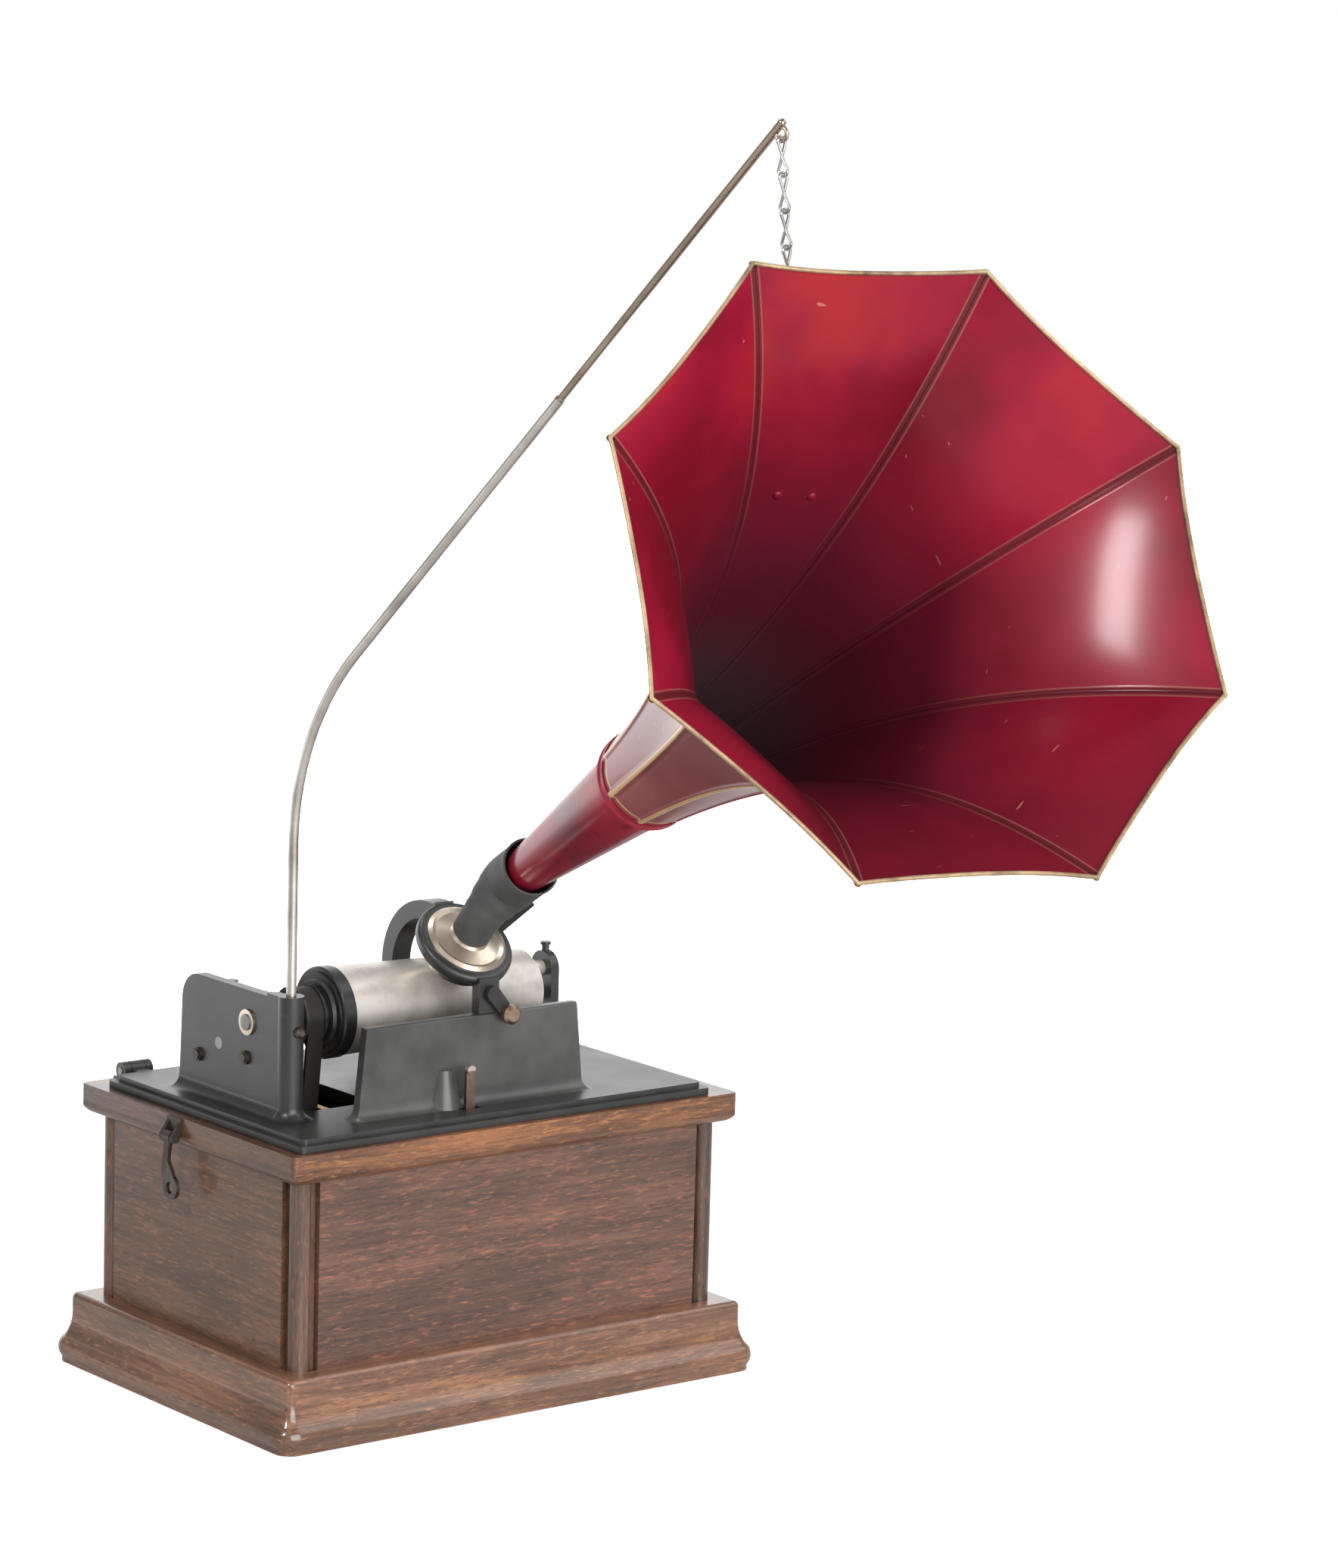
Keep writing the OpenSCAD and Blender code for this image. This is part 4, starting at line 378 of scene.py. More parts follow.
def ruby_enamel(name, part, hues, coat):
    """Ruby lacquer over tinned sheet: deep crimson with small chips. Inside the bell a painted orange reflection
    lies high up, and painted shade darkens the low panels and deepens towards the throat; on the cone dark
    mottled patches are painted reflection.

    part is "inside", "outside" or "cone". A bell panel's map gives the distance from the nearest seam and from
    the mouth, in metres."""
    material, tree, shader, place = begin(name)
    # Clouds about 80 mm across, orange peel and chips about 4 mm across and hairlines about 20 mm long
    cloud = add(tree, "ShaderNodeTexNoise", {"Vector": place, "Scale": 12.0, "Detail": 3.0})
    peel = add(tree, "ShaderNodeTexNoise", {"Vector": place, "Scale": 260.0, "Detail": 2.0})
    chip = add(tree, "ShaderNodeTexNoise", {"Vector": place, "Scale": 90.0, "Detail": 5.0, "Roughness": 0.62})
    drawn = add(tree, "ShaderNodeMapping", {
        "Vector": place, "Scale": (50, 420, 120), "Rotation": (0.5, 0.9, 0.3)})
    hair = add(tree, "ShaderNodeTexNoise", {"Vector": drawn.outputs[0], "Scale": 1.0, "Detail": 1.0})
    colour = add(tree, "ShaderNodeValToRGB", {"Fac": cloud.outputs[0]},
                 stops=[(0.36, srgb(hues[0])), (0.52, srgb(hues[1])), (0.66, srgb(hues[2]))]).outputs[0]
    # Each layer of colour: a value, the range that it eases over, its amount at either end, and its shade
    layers = [(hair.outputs[0], 0.79, 0.81, 0.0, 0.5, "#c08872"),
              (chip.outputs[0], 0.735, 0.75, 0.0, 0.7, CHIPPED)]
    if part == "cone":
        # Dark mottled patches, painted reflection on the cone
        mottled = add(tree, "ShaderNodeTexNoise", {
            "Vector": place, "Scale": 75.0, "Detail": 6.0, "Roughness": 0.7})
        layers.append((mottled.outputs[0], 0.5, 0.7, 0.0, 0.5, "#241014"))
    else:
        chart = add(tree, "ShaderNodeUVMap", uv_map="place")
        spot = add(tree, "ShaderNodeSeparateXYZ", {"Vector": chart.outputs[0]})
        seam, depth = spot.outputs["X"], spot.outputs["Y"]
        measure, line = (seam, SEAM_EDGE) if part == "inside" else (depth, COLLAR_LINE)
        away = add(tree, "ShaderNodeMath", {0: measure, 1: line}, operation="SUBTRACT")
        edge = add(tree, "ShaderNodeMath", {0: away.outputs[0]}, operation="ABSOLUTE").outputs[0]
    if part == "inside":
        # Painted shade on the low panels, a painted orange reflection in patches on the high ones, seams with
        # pale edges, and painted shade that deepens towards the throat
        level = add(tree, "ShaderNodeSeparateXYZ", {"Vector": place}).outputs["Z"]
        painted_reflection = add(tree, "ShaderNodeMapRange", {
            "Value": cloud.outputs[0], "From Min": 0.46, "From Max": 0.64, "To Min": 0.0, "To Max": 0.42},
            interpolation_type="SMOOTHSTEP")
        layers = [(level, 0.33, 0.43, 0.6, 0.0, "#38121a"),
                  (level, 0.47, 0.57, 0.0, painted_reflection.outputs[0], "#9e2614"),
                  *layers,
                  (seam, 0.0017, 0.0024, 0.8, 0.0, "#4a1c1e"),
                  (edge, 0.0002, 0.0006, 0.42, 0.0, "#94665a"),
                  # Painted shade, deepening towards the throat
                  (depth, 0.0, 0.16, 0.0, 1.0, "#561a26"),
                  (depth, 0.15, 0.25, 0.0, 1.0, "#503c3f")]
    elif part == "outside":
        # Gold lining on each seam and round the collar's end
        close = add(tree, "ShaderNodeMath", {0: seam, 1: edge}, operation="MINIMUM")
        layers.append((close.outputs[0], 0.0006, 0.0009, 0.9, 0.0, "#c2a06c"))
    amounts = {}
    for value, low, high, first, last, shade in layers:
        amounts[shade] = add(tree, "ShaderNodeMapRange", {
            "Value": value, "From Min": low, "From Max": high, "To Min": first, "To Max": last},
            interpolation_type="SMOOTHSTEP").outputs[0]
        colour = add(tree, "ShaderNodeMix", {"Factor": amounts[shade], "A": colour, "B": srgb(shade)},
                     data_type="RGBA").outputs["Result"]
    rough = add(tree, "ShaderNodeMapRange", {
        "Value": cloud.outputs[0], "From Min": 0.3, "From Max": 0.7, "To Min": 0.3, "To Max": 0.42})
    grain = add(tree, "ShaderNodeMath", {0: peel.outputs[0], 1: amounts[CHIPPED]}, operation="SUBTRACT")
    bump = add(tree, "ShaderNodeBump", {"Height": grain.outputs[0], "Strength": 0.07, "Distance": 0.0005})
    feed(tree, shader, {
        "Base Color": colour, "Roughness": rough.outputs[0], "Normal": bump.outputs[0], "IOR": 1.5,
        "Specular IOR Level": 0.1, "Coat Weight": coat, "Coat Roughness": 0.15})
    return material


def gilt(name):
    """Gold size on sheet edges: a dull brown-gold with worn dark patches about 30 mm across."""
    material, tree, shader, place = begin(name)
    worn = add(tree, "ShaderNodeTexNoise", {"Vector": place, "Scale": 34.0, "Detail": 6.0, "Roughness": 0.7})
    tone = add(tree, "ShaderNodeValToRGB", {"Fac": worn.outputs[0]},
               stops=[(0.28, srgb("#4a382f")), (0.42, srgb("#826a50")), (0.62, srgb("#b59c78"))])
    rough = add(tree, "ShaderNodeMapRange", {"Value": worn.outputs[0], "To Min": 0.55, "To Max": 0.35})
    feed(tree, shader, {"Base Color": tone.outputs[0], "Roughness": rough.outputs[0], "Metallic": 0.35})
    return material


def white_paper(name):
    """White paper with faint fibres about 11 mm long: it glows brighter towards the back as painted light, and
    is lifted for the camera so that only the contact shadow stays grey."""
    material, tree, shader, place = begin(name)
    fibre = add(tree, "ShaderNodeTexNoise", {"Vector": place, "Scale": 90.0, "Detail": 3.0})
    paper = add(tree, "ShaderNodeValToRGB", {"Fac": fibre.outputs[0]},
                stops=[(0.3, srgb("#cfcfce")), (0.7, srgb("#d6d6d5"))])
    rear = add(tree, "ShaderNodeSeparateXYZ", {"Vector": place}).outputs["Y"]
    # Painted light: the paper glows more towards the back, for every ray
    behind = add(tree, "ShaderNodeMapRange", {
        "Value": rear, "From Min": 0.3, "From Max": 1.2, "To Min": 0.0, "To Max": 1.9},
        interpolation_type="SMOOTHSTEP")
    seen = add(tree, "ShaderNodeLightPath").outputs["Is Camera Ray"]
    glow = add(tree, "ShaderNodeMath", {0: seen, 1: 0.75, 2: behind.outputs[0]}, operation="MULTIPLY_ADD")
    feed(tree, shader, {
        "Base Color": paper.outputs[0], "Roughness": 0.9, "Emission Color": srgb("#ffffff"),
        "Emission Strength": glow.outputs[0]})
    return material


def dress(material, *names):
    """Gives each named solid one material."""
    for name in names:
        mesh = NODES[name].data
        mesh.materials.clear()
        mesh.materials.append(material)


# Settings

class PHONO_case(bpy.types.PropertyGroup):
    """Colours of the oak case."""
    dark: StringProperty(
        name="Dark grain", description="Darkest tone of the boards, as an sRGB hex value", default="#49332d")
    middle: StringProperty(
        name="Middle grain", description="Main tone of the boards, as an sRGB hex value", default="#5b4034")
    pale: StringProperty(
        name="Pale grain", description="Palest tone of the boards, as an sRGB hex value", default="#6f4e3e")
    fleck: StringProperty(
        name="Fleck", description="Tone of the ray flecks, as an sRGB hex value", default="#9c6048")


class PHONO_horn(bpy.types.PropertyGroup):
    """Sizes of the panelled horn."""
    length: FloatProperty(
        name="Length", description="Connector's mouth to bell's edge", default=0.4156, unit="LENGTH")
    cone: FloatProperty(
        name="Cone", description="Length of the round cone up to its collar", default=0.14, unit="LENGTH")
    collar: FloatProperty(
        name="Collar radius", description="Radius of the cone at its collar", default=0.0224, unit="LENGTH")
    bell: FloatProperty(
        name="Bell radius", description="Radius of the bell at its corners", default=0.1493, unit="LENGTH")
    flare: FloatProperty(name="Flare", description="How strongly the bell flares", default=2.3)
    bow: FloatProperty(
        name="Bow", description="How far each edge of the mouth bows inwards", default=0.003, unit="LENGTH")
    sheet: FloatProperty(name="Sheet", description="Thickness of the sheet", default=0.0012, unit="LENGTH")


class PHONO_stage(bpy.types.PropertyGroup):
    """Place and lens of the camera."""
    eye: FloatVectorProperty(
        name="Camera", description="Place of the camera", default=(-1.4849, -2.0868, 0.7263),
        subtype="TRANSLATION")
    lens: FloatProperty(
        name="Lens", description="Focal length on a frame 36 mm high, in millimetres", default=118.89)


# Pieces

class PHONO_OT_case(bpy.types.Operator):
    """Finishes the oak case"""
    bl_idname = "phono.case"
    bl_label = "Case"

    def execute(self, context):
        s = context.scene.phono_case
        dress(fumed_oak("fumed oak across the front", (s.dark, s.middle, s.pale), s.fleck, "X",
                        seed=1.3, shine=0.36), "front_board", "rear_board", "floor_board")
        dress(fumed_oak("fumed oak along the sides", ("#4a3424", "#5c402e", "#704f39"), "#96603f", "Y",
                        seed=4.1, shine=0.36), "left_board", "right_board")
        dress(fumed_oak("fumed oak posts", ("#463329", "#594236", "#6e5243"), "#86594a", "Z",
                        seed=7.7, shine=0.3), "corner_posts")
        # The rim's and the plinth's side runs are darkened by sides, as painted shade
        dress(fumed_oak("varnished oak rim", ("#492c1a", "#6c4429", "#925d37"), "#ae7341", "frame",
                        seed=2.9, shine=0.3, coat=0.6, sides=0.42), "top_rim")
        dress(fumed_oak("varnished oak plinth", ("#533a2b", "#6e4d3a", "#8b6349"), "#a8744f", "frame",
                        seed=5.2, shine=0.26, coat=0.75, sides=0.95), "base_moulding")
        return {"FINISHED"}


class PHONO_OT_metalwork(bpy.types.Operator):
    """Finishes the bedplate, the mandrel, the motor and the crane"""
    bl_idname = "phono.metalwork"
    bl_label = "Metalwork"

    def execute(self, context):
        # One black japan in two copies: painted paler as painted light on the front wall, and painted darker as
        # painted shade on the side wall
        dress(japan_black("black japan painted lit", "#525250", "#303130"), "front_wall")
        dress(japan_black("black japan painted shaded", "#232423", "#131413"), "side_wall")
        dress(japan_black("stoved black japan", "#2e2f2e", "#1a1b1a"), "bedplate", "bearing_post",
              "rear_posts", "brake_bracket", "drive_pulley", "mandrel_pulley", "mandrel_flange",
              "carriage_arm", "hinge_leaves")
        dress(plated("satin nickel", "#dcd7ce", "#969086", lines=12, shine=0.29, metal=0.42),
              "mandrel", "back_rod")
        dress(plated("cream nickel", "#ddd0be", "#988a78", lines=30, shine=0.24), "reproducer",
              "stylus_weight", "carriage_bush", "crank_arm", "crank_bush", "mandrel_bush")
        # The start lever is bright above its stem, the knob's rear is black and the crane's upper rod browner
        dress(plated("browned nickel stem", "#9a887b", "#6a5a50", lines=30, shine=0.34,
                     beyond=(2, 0.1695, "#e0dad0", "#a59d92", 1.0)), "start_lever")
        dress(plated("bronzed nickel knob", "#a8927f", "#75624f", lines=30, shine=0.3,
                     beyond=(1, -0.0722, "#303130", "#1b1c1b", 0.0)), "lift_lever")
        dress(plated("dulled nickel tube", "#cac6be", "#96918a", lines=60, shine=0.28,
                     beyond=(2, 0.5135, "#a99b89", "#776a5c", 1.0)), "crane")
        dress(plated("grey steel", "#9a9995", "#5c5a57", lines=900, shine=0.32, grit=0.1), "motor_pillars",
              "ratchet_housing", "winding_arbor", "drive_shaft", "governor_spindle", "governor_springs",
              "feed_screw", "half_nut", "diaphragm", "idler_stud", "hinge_pins", "mandrel_shaft")
        dress(plated("bright steel wire", "#bdbcb8", "#83817c", lines=90, shine=0.26), "chain")
        dress(plated("browned steel", "#6a625c", "#3d3733", lines=300, shine=0.42, grit=0.1),
              "clasp_plates", "clasp_left", "clasp_right", "wall_screws")
        dress(plated("lacquered brass", "#c39c58", "#8a6a35", lines=420, shine=0.28), "motor_plate_left",
              "motor_plate_right", "spring_barrel", "drive_gear", "governor_disc", "governor_weights",
              "idler_gear")
        dress(soft_black("oiled leather belt", "#241c17", "#171210", shine=0.6, grain=900), "drive_belt")
        dress(soft_black("ebonised maple", "#2e241f", "#1c1613", shine=0.35, grain=1400), "crank_grip")
        return {"FINISHED"}


# The bell's panels, its rows of points from the collar to the mouth, and the number of the upper panel
PANELS = 8
ROWS = 72
TOP = 1

# The bell in metres: how far its first corners stand outside the collar and its first row off it, lines of
# points over half a folded seam, the seam's ridge, and the dents
COLLAR_LIP = 0.0016
COLLAR_GAP = 0.00005
SEAM_LINES = np.array((0, 0.7, 1.3, 1.8, 2.3, 3.2)) / 1000
RIDGE_HEIGHT = 0.0009
RIDGE_HALF = 0.0021
DENT_DEPTH = 0.0005

# Rivets in metres: their distance from the connector's mouth, radius and height; and, as shares of half a
# panel, their places across it
RIVET_FROM_MOUTH = 0.3247
RIVET_RADIUS = 0.0022
RIVET_HEIGHT = 0.0011
RIVET_PLACES = (0.43, -0.17)

# Hanging eye in metres: its pad's distance from the bell's edge, the ring's and the wire's radius, and the
# pad's radii and heights
PAD_FROM_EDGE = 0.086
EYE_RADIUS = 0.0068
EYE_WIRE = 0.0012
PAD_PROFILE = ((0, -0.0002), (0.0034, -0.0002), (0.0034, 0.0011), (0.003, 0.0015), (0, 0.0015))

# Rolled edge in metres: its radius, and how far its middle lies past the sheet's end
ROLL_RADIUS = 0.001
ROLL_AHEAD = 0.0008


def bell_form(s):
    """Works out the bell from the horn's settings.

    The corners' radius grows as an exponential of the distance from the collar. Each panel is a chord between
    two corners, pushed out to a circle near the collar and bowed in at the mouth, with a ridge over each folded
    seam and slow shallow dents. Gives the rows' distances from the connector's mouth, the columns' places
    across a panel from -1 to 1, their distances from the nearest seam, the panels' directions out from the
    axis, and a function that gives all points for an inset and a sign of the ridge."""
    half = math.pi / PANELS
    # Rows lie closer towards the mouth
    t = 1 - (1 - np.linspace(0, 1, ROWS)) ** 1.25
    start = s.collar + COLLAR_LIP
    corner = start + (s.bell - start) * np.expm1(s.flare * t) / math.expm1(s.flare)
    middle = corner * (math.cos(half) + (1 - math.cos(half)) * (1 - t) ** 3) - s.bow * t * t
    chord = corner * math.sin(half)
    # Columns across one panel: close lines over each folded seam, then even steps between them
    widest = 0.9 * np.linspace(0, 0.35, len(SEAM_LINES))[None, :] + 1e-9
    near = 1 - np.minimum(SEAM_LINES[None, :] / chord[:, None], widest)
    between = np.linspace(-1, 1, 13)[1:-1][None, :] * near[:, -1:]
    across = np.concatenate([-near, between, near[:, ::-1][:, :-1]], axis=1)
    gap = (1 - np.abs(across)) * chord[:, None]
    push = (middle - corner * math.cos(half))[:, None] * (1 - across ** 2)
    ridge = RIDGE_HEIGHT * np.clip(1.15 - (gap / RIDGE_HALF) ** 2, 0, 1)
    wave = np.sin(across * 2.2 + 9 * t[:, None])
    dent = DENT_DEPTH * wave * np.clip(1 - across ** 2, 0, 1) * t[:, None]
    angle = 2 * half * (np.arange(PANELS) + 1)
    out = np.cos(angle)[:, None] * HORN_SIDE + np.sin(angle)[:, None] * HORN_UP
    over = np.cos(angle)[:, None] * HORN_UP - np.sin(angle)[:, None] * HORN_SIDE
    z = s.cone + COLLAR_GAP + (s.length - s.cone) * t

    def shell(inset, sign):
        # Points of all panels in turn: along the axis, then out from it, then across the panel
        reach = (corner * math.cos(half))[:, None] + push - inset + sign * ridge + dent
        width = across * (chord - inset * math.tan(half))[:, None]
        points = (MOUTH + z[:, None, None, None] * HORN_AXIS + reach[:, None, :, None] * out[None, :, None]
                  + width[:, None, :, None] * over[None, :, None])
        return points.reshape(ROWS, -1, 3)

    return z, across, gap, out, shell


class PHONO_OT_horn(bpy.types.Operator):
    """Makes the panelled bell with its rivets, hanging eye and rolled gilt edge, and finishes the cone"""
    bl_idname = "phono.horn"
    bl_label = "Horn"

    def execute(self, context):
        s = context.scene.phono_horn
        z, across, gap, out, shell = bell_form(s)
        size = (ROWS, PANELS, gap.shape[1])
        place = np.stack([np.broadcast_to(gap[:, None], size),
                          np.broadcast_to((s.length - z)[:, None, None], size)], axis=-1).reshape(ROWS, -1, 2)
        inside = skin("bell_inside", shell(s.sheet, -1), close_columns=True, uv=place)
        inside.data.materials.append(
            ruby_enamel("ruby enamel inside", "inside", ("#6c0a1d", "#850e2a", "#91132b"), coat=0.28))
        outside = skin("bell_outside", shell(0, 1), close_columns=True, uv=place, flip=True)
        # Outside, the ruby is lightened and greyed as a painted reflection of the pale sweep behind
        outside.data.materials.append(
            ruby_enamel("ruby enamel outside", "outside", ("#6a3338", "#7a3e42", "#8a4c4e"), coat=0.42))
        bell = join("bell_panels", [inside, outside])
        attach(bell, "horn")
        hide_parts("horn_bell")
        # The cone's dark mottled patches are painted reflection
        dress(ruby_enamel("rubbed ruby enamel", "cone", ("#5f0d20", "#81142c", "#951f34"), coat=0.42),
              "horn_cone")
        # Two domed rivets of the hanging eye show inside the top panel
        panel = shell(s.sheet, -1).reshape(ROWS, PANELS, -1, 3)[:, TOP]
        row = int(np.argmin(np.abs(z - RIVET_FROM_MOUTH)))
        bow = np.linspace(0, np.pi / 2, 8)
        dome = np.stack([RIVET_RADIUS * np.cos(bow), RIVET_HEIGHT * np.sin(bow)], axis=1)
        rivets = []
        for share in RIVET_PLACES:
            column = int(np.argmin(np.abs(across[row] - share)))
            inward = -normal_at(panel, row, column, out[TOP])
            rivets.append(turned("rivet", dome, panel[row, column], inward, 24))
        # Wire eye for the chain: a circle carried round a circle, on a pad that lies along the top panel
        a, b = np.meshgrid(np.linspace(0, 2 * np.pi, 48, endpoint=False),
                           np.linspace(0, 2 * np.pi, 14, endpoint=False), indexing="ij")
        reach = EYE_RADIUS + EYE_WIRE * np.cos(b)
        ring = (HORN_EYE + (reach * np.cos(a))[..., None] * HORN_UP
                + (reach * np.sin(a))[..., None] * HORN_AXIS + (EYE_WIRE * np.sin(b))[..., None] * HORN_SIDE)
        wire = weld(skin("wire", ring, close_rows=True, close_columns=True))
        panel = shell(0, 1).reshape(ROWS, PANELS, -1, 3)[:, TOP]
        row = int(np.argmin(np.abs(z - (s.length - PAD_FROM_EDGE))))
        column = across.shape[1] // 2
        pad = turned("pad", PAD_PROFILE, panel[row, column], normal_at(panel, row, column, out[TOP]), 32)
        eye = join("horn_eye", [wire, pad])
        eye.data.materials.append(NODES["chain"].data.materials[0])
        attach(eye, "horn")
        heads = join("bell_rivets", rivets)
        heads.data.materials.append(NODES["horn_cone"].data.materials[0])
        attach(heads, "horn")
        # The rolled edge is a circle carried along the mouth's outline
        rim = shell(s.sheet / 2, 0)[-1] + ROLL_AHEAD * HORN_AXIS
        along = np.roll(rim, -1, axis=0) - np.roll(rim, 1, axis=0)
        along /= np.linalg.norm(along, axis=1)[:, None]
        outward = np.cross(along, HORN_AXIS)
        a = np.linspace(0, 2 * np.pi, 10, endpoint=False)
        circle = np.cos(a)[None, :, None] * outward[:, None] + np.sin(a)[None, :, None] * HORN_AXIS
        tube = rim[:, None] + ROLL_RADIUS * circle
        edge_piece = weld(skin("rolled_edge", tube, close_rows=True, close_columns=True))
        edge_piece.data.materials.append(gilt("worn gold paint"))
        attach(edge_piece, "horn")
        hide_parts("bell_edge")
        return {"FINISHED"}


# The connector's path in metres: its foot above the ring, its straight start and end, and the handles at
# either end of its bend
FOOT_RISE = 0.0086
STRAIGHT_START = 0.0063
STRAIGHT_END = 0.02
START_HANDLE = 0.013
END_HANDLE = 0.011

# Its radius at the neck and at the horn, its wall, how far the lip flares and rounds off, and the foot's
# rounding, in metres; then each crease's depth in metres, with its place and width as shares of the path
NECK_RADIUS = 0.0099
HORN_RADIUS = 0.01455
RUBBER_WALL = 0.0013
LIP_FLARE = 0.0004
LIP_ROUND = 0.0005
FOOT_ROUND = 0.0007
CREASES = ((0.00035, 0.3, 0.03), (0.0003, 0.42, 0.03))


class PHONO_OT_connector(bpy.types.Operator):
    """Makes the rubber connector between the reproducer's neck and the horn's cone"""
    bl_idname = "phono.connector"
    bl_label = "Connector"

    def execute(self, context):
        # Straight off the neck, one cubic bend into the horn's line, then straight to the lip
        foot = RING + FOOT_RISE * RING_NORMAL
        bend = foot + STRAIGHT_START * RING_NORMAL
        end = MOUTH - STRAIGHT_END * HORN_AXIS
        t = np.linspace(0, 1, 41)[:, None]
        curve = ((1 - t) ** 3 * bend + 3 * t * (1 - t) ** 2 * (bend + START_HANDLE * RING_NORMAL)
                 + 3 * t * t * (1 - t) * (end - END_HANDLE * HORN_AXIS) + t ** 3 * end)
        path = np.concatenate([foot + np.linspace(0, 1, 8)[:-1, None] * (bend - foot), curve,
                               end + np.linspace(0, 1, 24)[1:, None] * (MOUTH - end)])
        gone = np.concatenate([[0], np.cumsum(np.linalg.norm(np.diff(path, axis=0), axis=1))])
        share = gone / gone[-1]
        # The radius eases from the neck's to the horn's, with soft creases, a flared lip and a rounded foot
        ease = np.clip((share - 0.12) / 0.5, 0, 1)
        radius = NECK_RADIUS + (HORN_RADIUS - NECK_RADIUS) * ease ** 2 * (3 - 2 * ease)
        radius -= sum(depth * np.exp(-((share - middle) / width) ** 2) for depth, middle, width in CREASES)
        radius += (LIP_FLARE * np.clip((share - 0.93) / 0.07, 0, 1)
                   - FOOT_ROUND * np.clip(1 - share / 0.02, 0, 1) ** 2)
        outer = swept(path, radius, 48)
        inner = swept(path, radius - RUBBER_WALL, 48)
        lip = (outer[-1] + inner[-1]) / 2 + LIP_ROUND * HORN_AXIS
        grid = np.concatenate([outer, lip[None], inner[::-1]])
        hose = weld(skin("rubber_hose", grid, close_rows=True, close_columns=True))
        hose.data.materials.append(soft_black("aged rubber", "#4b4d4b", "#3b3d3c", shine=0.62, grain=700))
        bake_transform(hose)
        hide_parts("rubber_connector")
        return {"FINISHED"}


# The camera's azimuth, elevation and roll in degrees, and its frame's height in millimetres
CAMERA_ANGLES = (-38.265, 9.390, -1.540)
FRAME_HEIGHT = 36

# Each lamp's place and size in metres, its power in watts and the place that it faces
LAMPS = {
    "left softbox": ((-1.57, -0.5, 1.36), (0.2, 0.42), 16, (0, -0.4, 0.4)),
    "right softbox": ((1.6, -1.05, 1.85), (1.8, 1.8), 16, (0, -0.05, 0.2)),
    "high softbox": ((0.1, 0.75, 2.25), (0.17, 0.28), 7, (0, -0.1, 0.2)),
    "front fill": ((-0.3, -3.2, 0.85), (2.8, 2.8), 146, (0, -0.1, 0.12)),
}

# The direction of the pale wall behind the object; half the floor's side and its drop below the feet, in metres
WALL_SIDE = (0.4, 0.91, 0.1)
FLOOR_HALF = 6
FLOOR_DROP = 0.0004


def stand(obj, place, right, up, back):
    """Puts a camera or a lamp into the scene at a place, with its three axes."""
    pose = np.eye(4)
    pose[:3, :3] = np.array((right, up, back)).T
    pose[:3, 3] = place
    obj.matrix_world = Matrix(pose.tolist())
    bpy.context.scene.collection.objects.link(obj)


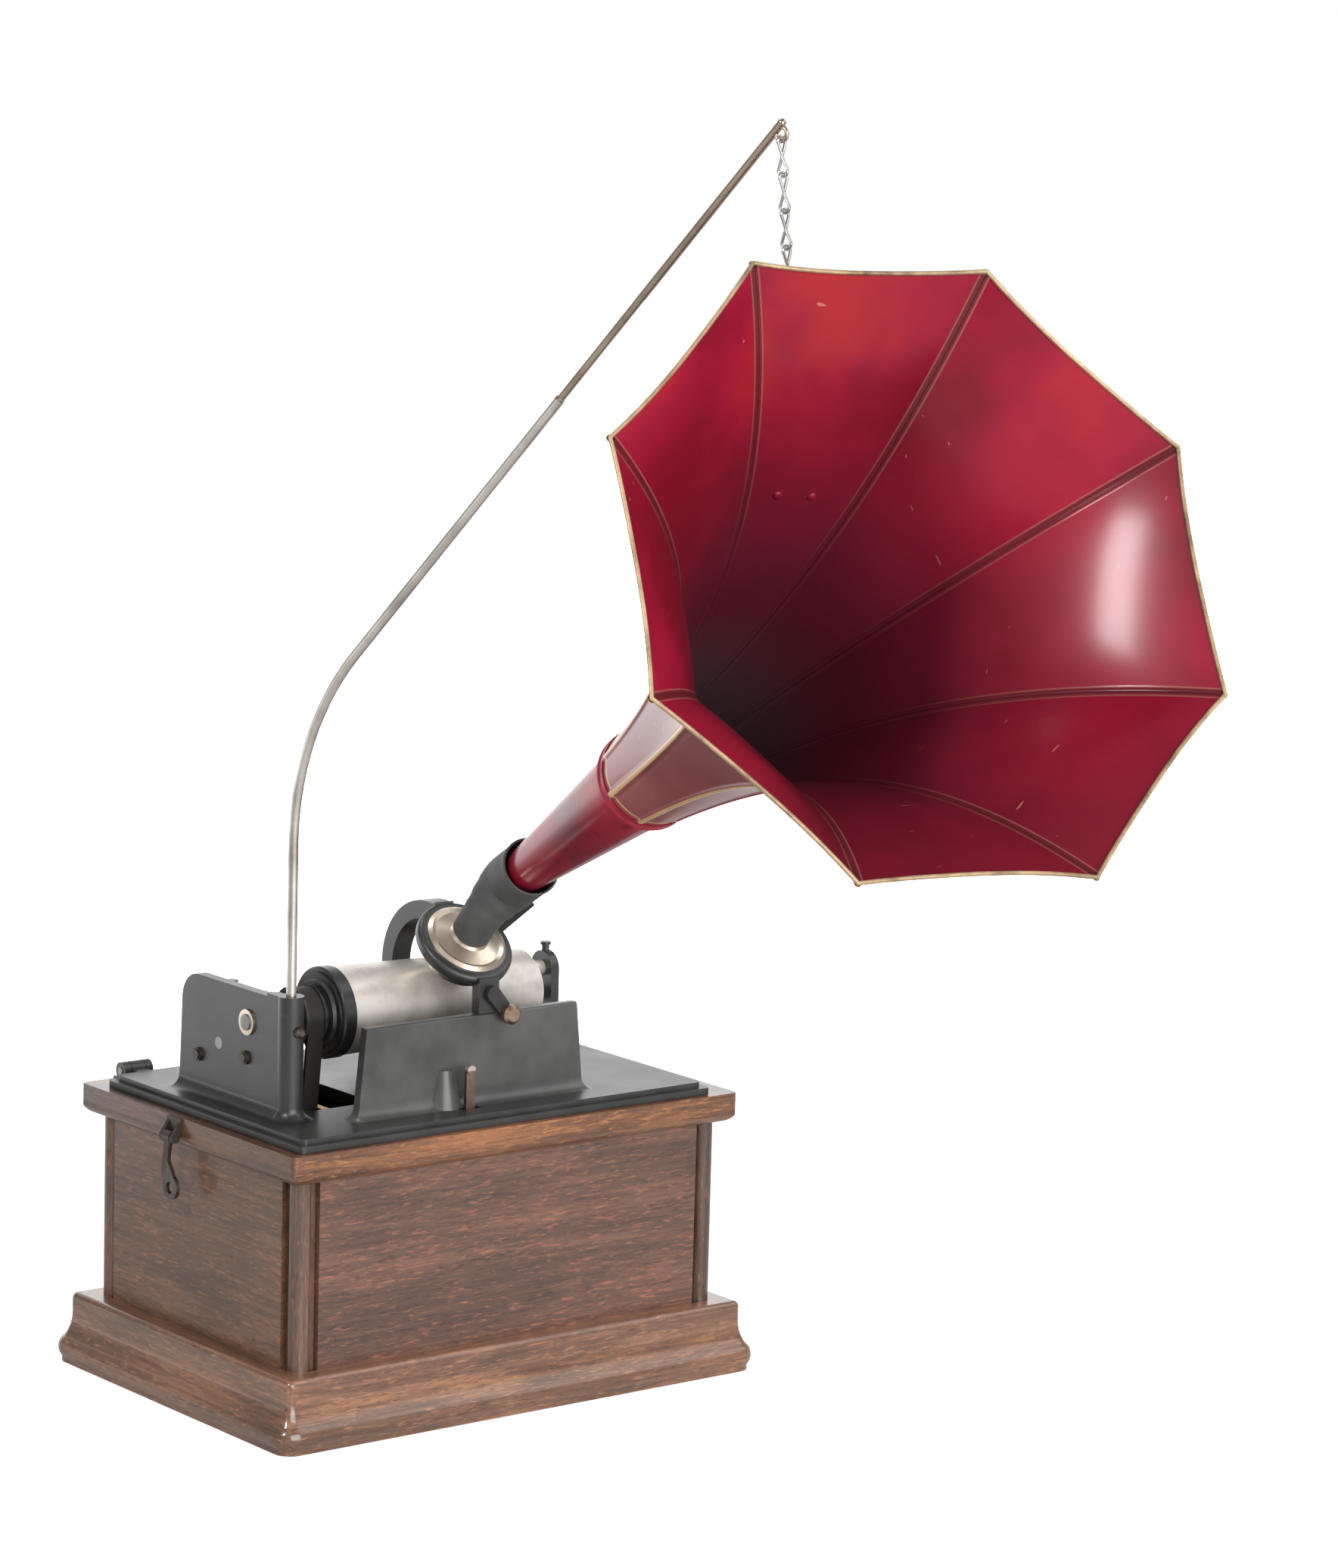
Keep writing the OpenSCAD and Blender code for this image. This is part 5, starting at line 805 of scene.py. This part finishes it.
class PHONO_OT_stage(bpy.types.Operator):
    """Sets the floor, the lights and the camera"""
    bl_idname = "phono.stage"
    bl_label = "Stage"

    def execute(self, context):
        s = context.scene.phono_stage
        scene = context.scene
        scene.view_settings.view_transform = "Standard"
        az, el, roll = (math.radians(v) for v in CAMERA_ANGLES)
        back = np.array((math.sin(az) * math.cos(el), -math.cos(az) * math.cos(el), math.sin(el)))
        right = np.array((math.cos(az), math.sin(az), 0))
        up = np.cross(back, right)
        c, d = math.cos(roll), math.sin(roll)
        camera = bpy.data.objects.new("camera", bpy.data.cameras.new("camera"))
        camera.data.sensor_fit = "VERTICAL"
        camera.data.sensor_height = FRAME_HEIGHT
        camera.data.lens = s.lens
        camera.data.clip_end = 50
        stand(camera, s.eye, c * right - d * up, d * right + c * up, back)
        scene.camera = camera
        for name, (place, size, power, aim) in LAMPS.items():
            lamp = bpy.data.objects.new(name, bpy.data.lights.new(name, "AREA"))
            lamp.data.shape = "RECTANGLE"
            lamp.data.size, lamp.data.size_y = size
            lamp.data.energy = power
            back, right, up = frame_across(np.subtract(place, aim))
            stand(lamp, place, right, up, back)
        world = bpy.data.worlds.new("studio")
        world.use_nodes = True
        tree = world.node_tree
        tree.nodes.clear()
        path = add(tree, "ShaderNodeLightPath").outputs
        seen = add(tree, "ShaderNodeMath", {0: path["Is Camera Ray"], 1: path["Is Transmission Ray"]},
                   operation="MAXIMUM")
        # A pale wall glows low behind the object; elsewhere the room is dim
        sky = add(tree, "ShaderNodeTexCoord").outputs["Generated"]
        facing = add(tree, "ShaderNodeVectorMath", {0: sky, 1: WALL_SIDE}, operation="DOT_PRODUCT")
        room = add(tree, "ShaderNodeMapRange", {
            "Value": facing.outputs["Value"], "From Min": 0.7, "From Max": 0.97, "To Min": 0.31, "To Max": 1.7},
            interpolation_type="SMOOTHSTEP")
        strength = add(tree, "ShaderNodeMix", {"Factor": seen.outputs[0], "A": room.outputs[0], "B": 1.0})
        light = add(tree, "ShaderNodeBackground", {"Color": srgb("#ffffff"), "Strength": strength.outputs[0]})
        add(tree, "ShaderNodeOutputWorld", {"Surface": light.outputs[0]})
        scene.world = world
        g = np.linspace(-FLOOR_HALF, FLOOR_HALF, 3)
        x, y = np.meshgrid(g, g, indexing="ij")
        floor = skin("floor", np.stack([x, y, np.full_like(x, -FLOOR_DROP)], axis=-1))
        floor.data.materials.append(white_paper("white paper sweep"))
        return {"FINISHED"}


class PHONO_PT_panel(bpy.types.Panel):
    """Lists the pieces in the sidebar"""
    bl_label = "Phonograph"
    bl_space_type = "VIEW_3D"
    bl_region_type = "UI"
    bl_category = "Phonograph"

    def draw(self, context):
        for kind in PIECES:
            self.layout.operator(kind.bl_idname)


PIECES = (PHONO_OT_stage, PHONO_OT_case, PHONO_OT_metalwork, PHONO_OT_horn, PHONO_OT_connector)
CLASSES = (PHONO_case, PHONO_horn, PHONO_stage) + PIECES + (PHONO_PT_panel,)


def register():
    """Registers the classes and hangs their settings on the scene."""
    for kind in CLASSES:
        bpy.utils.register_class(kind)
    bpy.types.Scene.phono_case = PointerProperty(type=PHONO_case)
    bpy.types.Scene.phono_horn = PointerProperty(type=PHONO_horn)
    bpy.types.Scene.phono_stage = PointerProperty(type=PHONO_stage)


def unregister():
    """Takes the settings off the scene and unregisters the classes."""
    del bpy.types.Scene.phono_stage
    del bpy.types.Scene.phono_horn
    del bpy.types.Scene.phono_case
    for kind in reversed(CLASSES):
        bpy.utils.unregister_class(kind)


def main():
    """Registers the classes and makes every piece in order."""
    register()
    bpy.ops.phono.stage()
    bpy.ops.phono.case()
    bpy.ops.phono.metalwork()
    bpy.ops.phono.horn()
    bpy.ops.phono.connector()


if __name__ == "__main__":
    main()
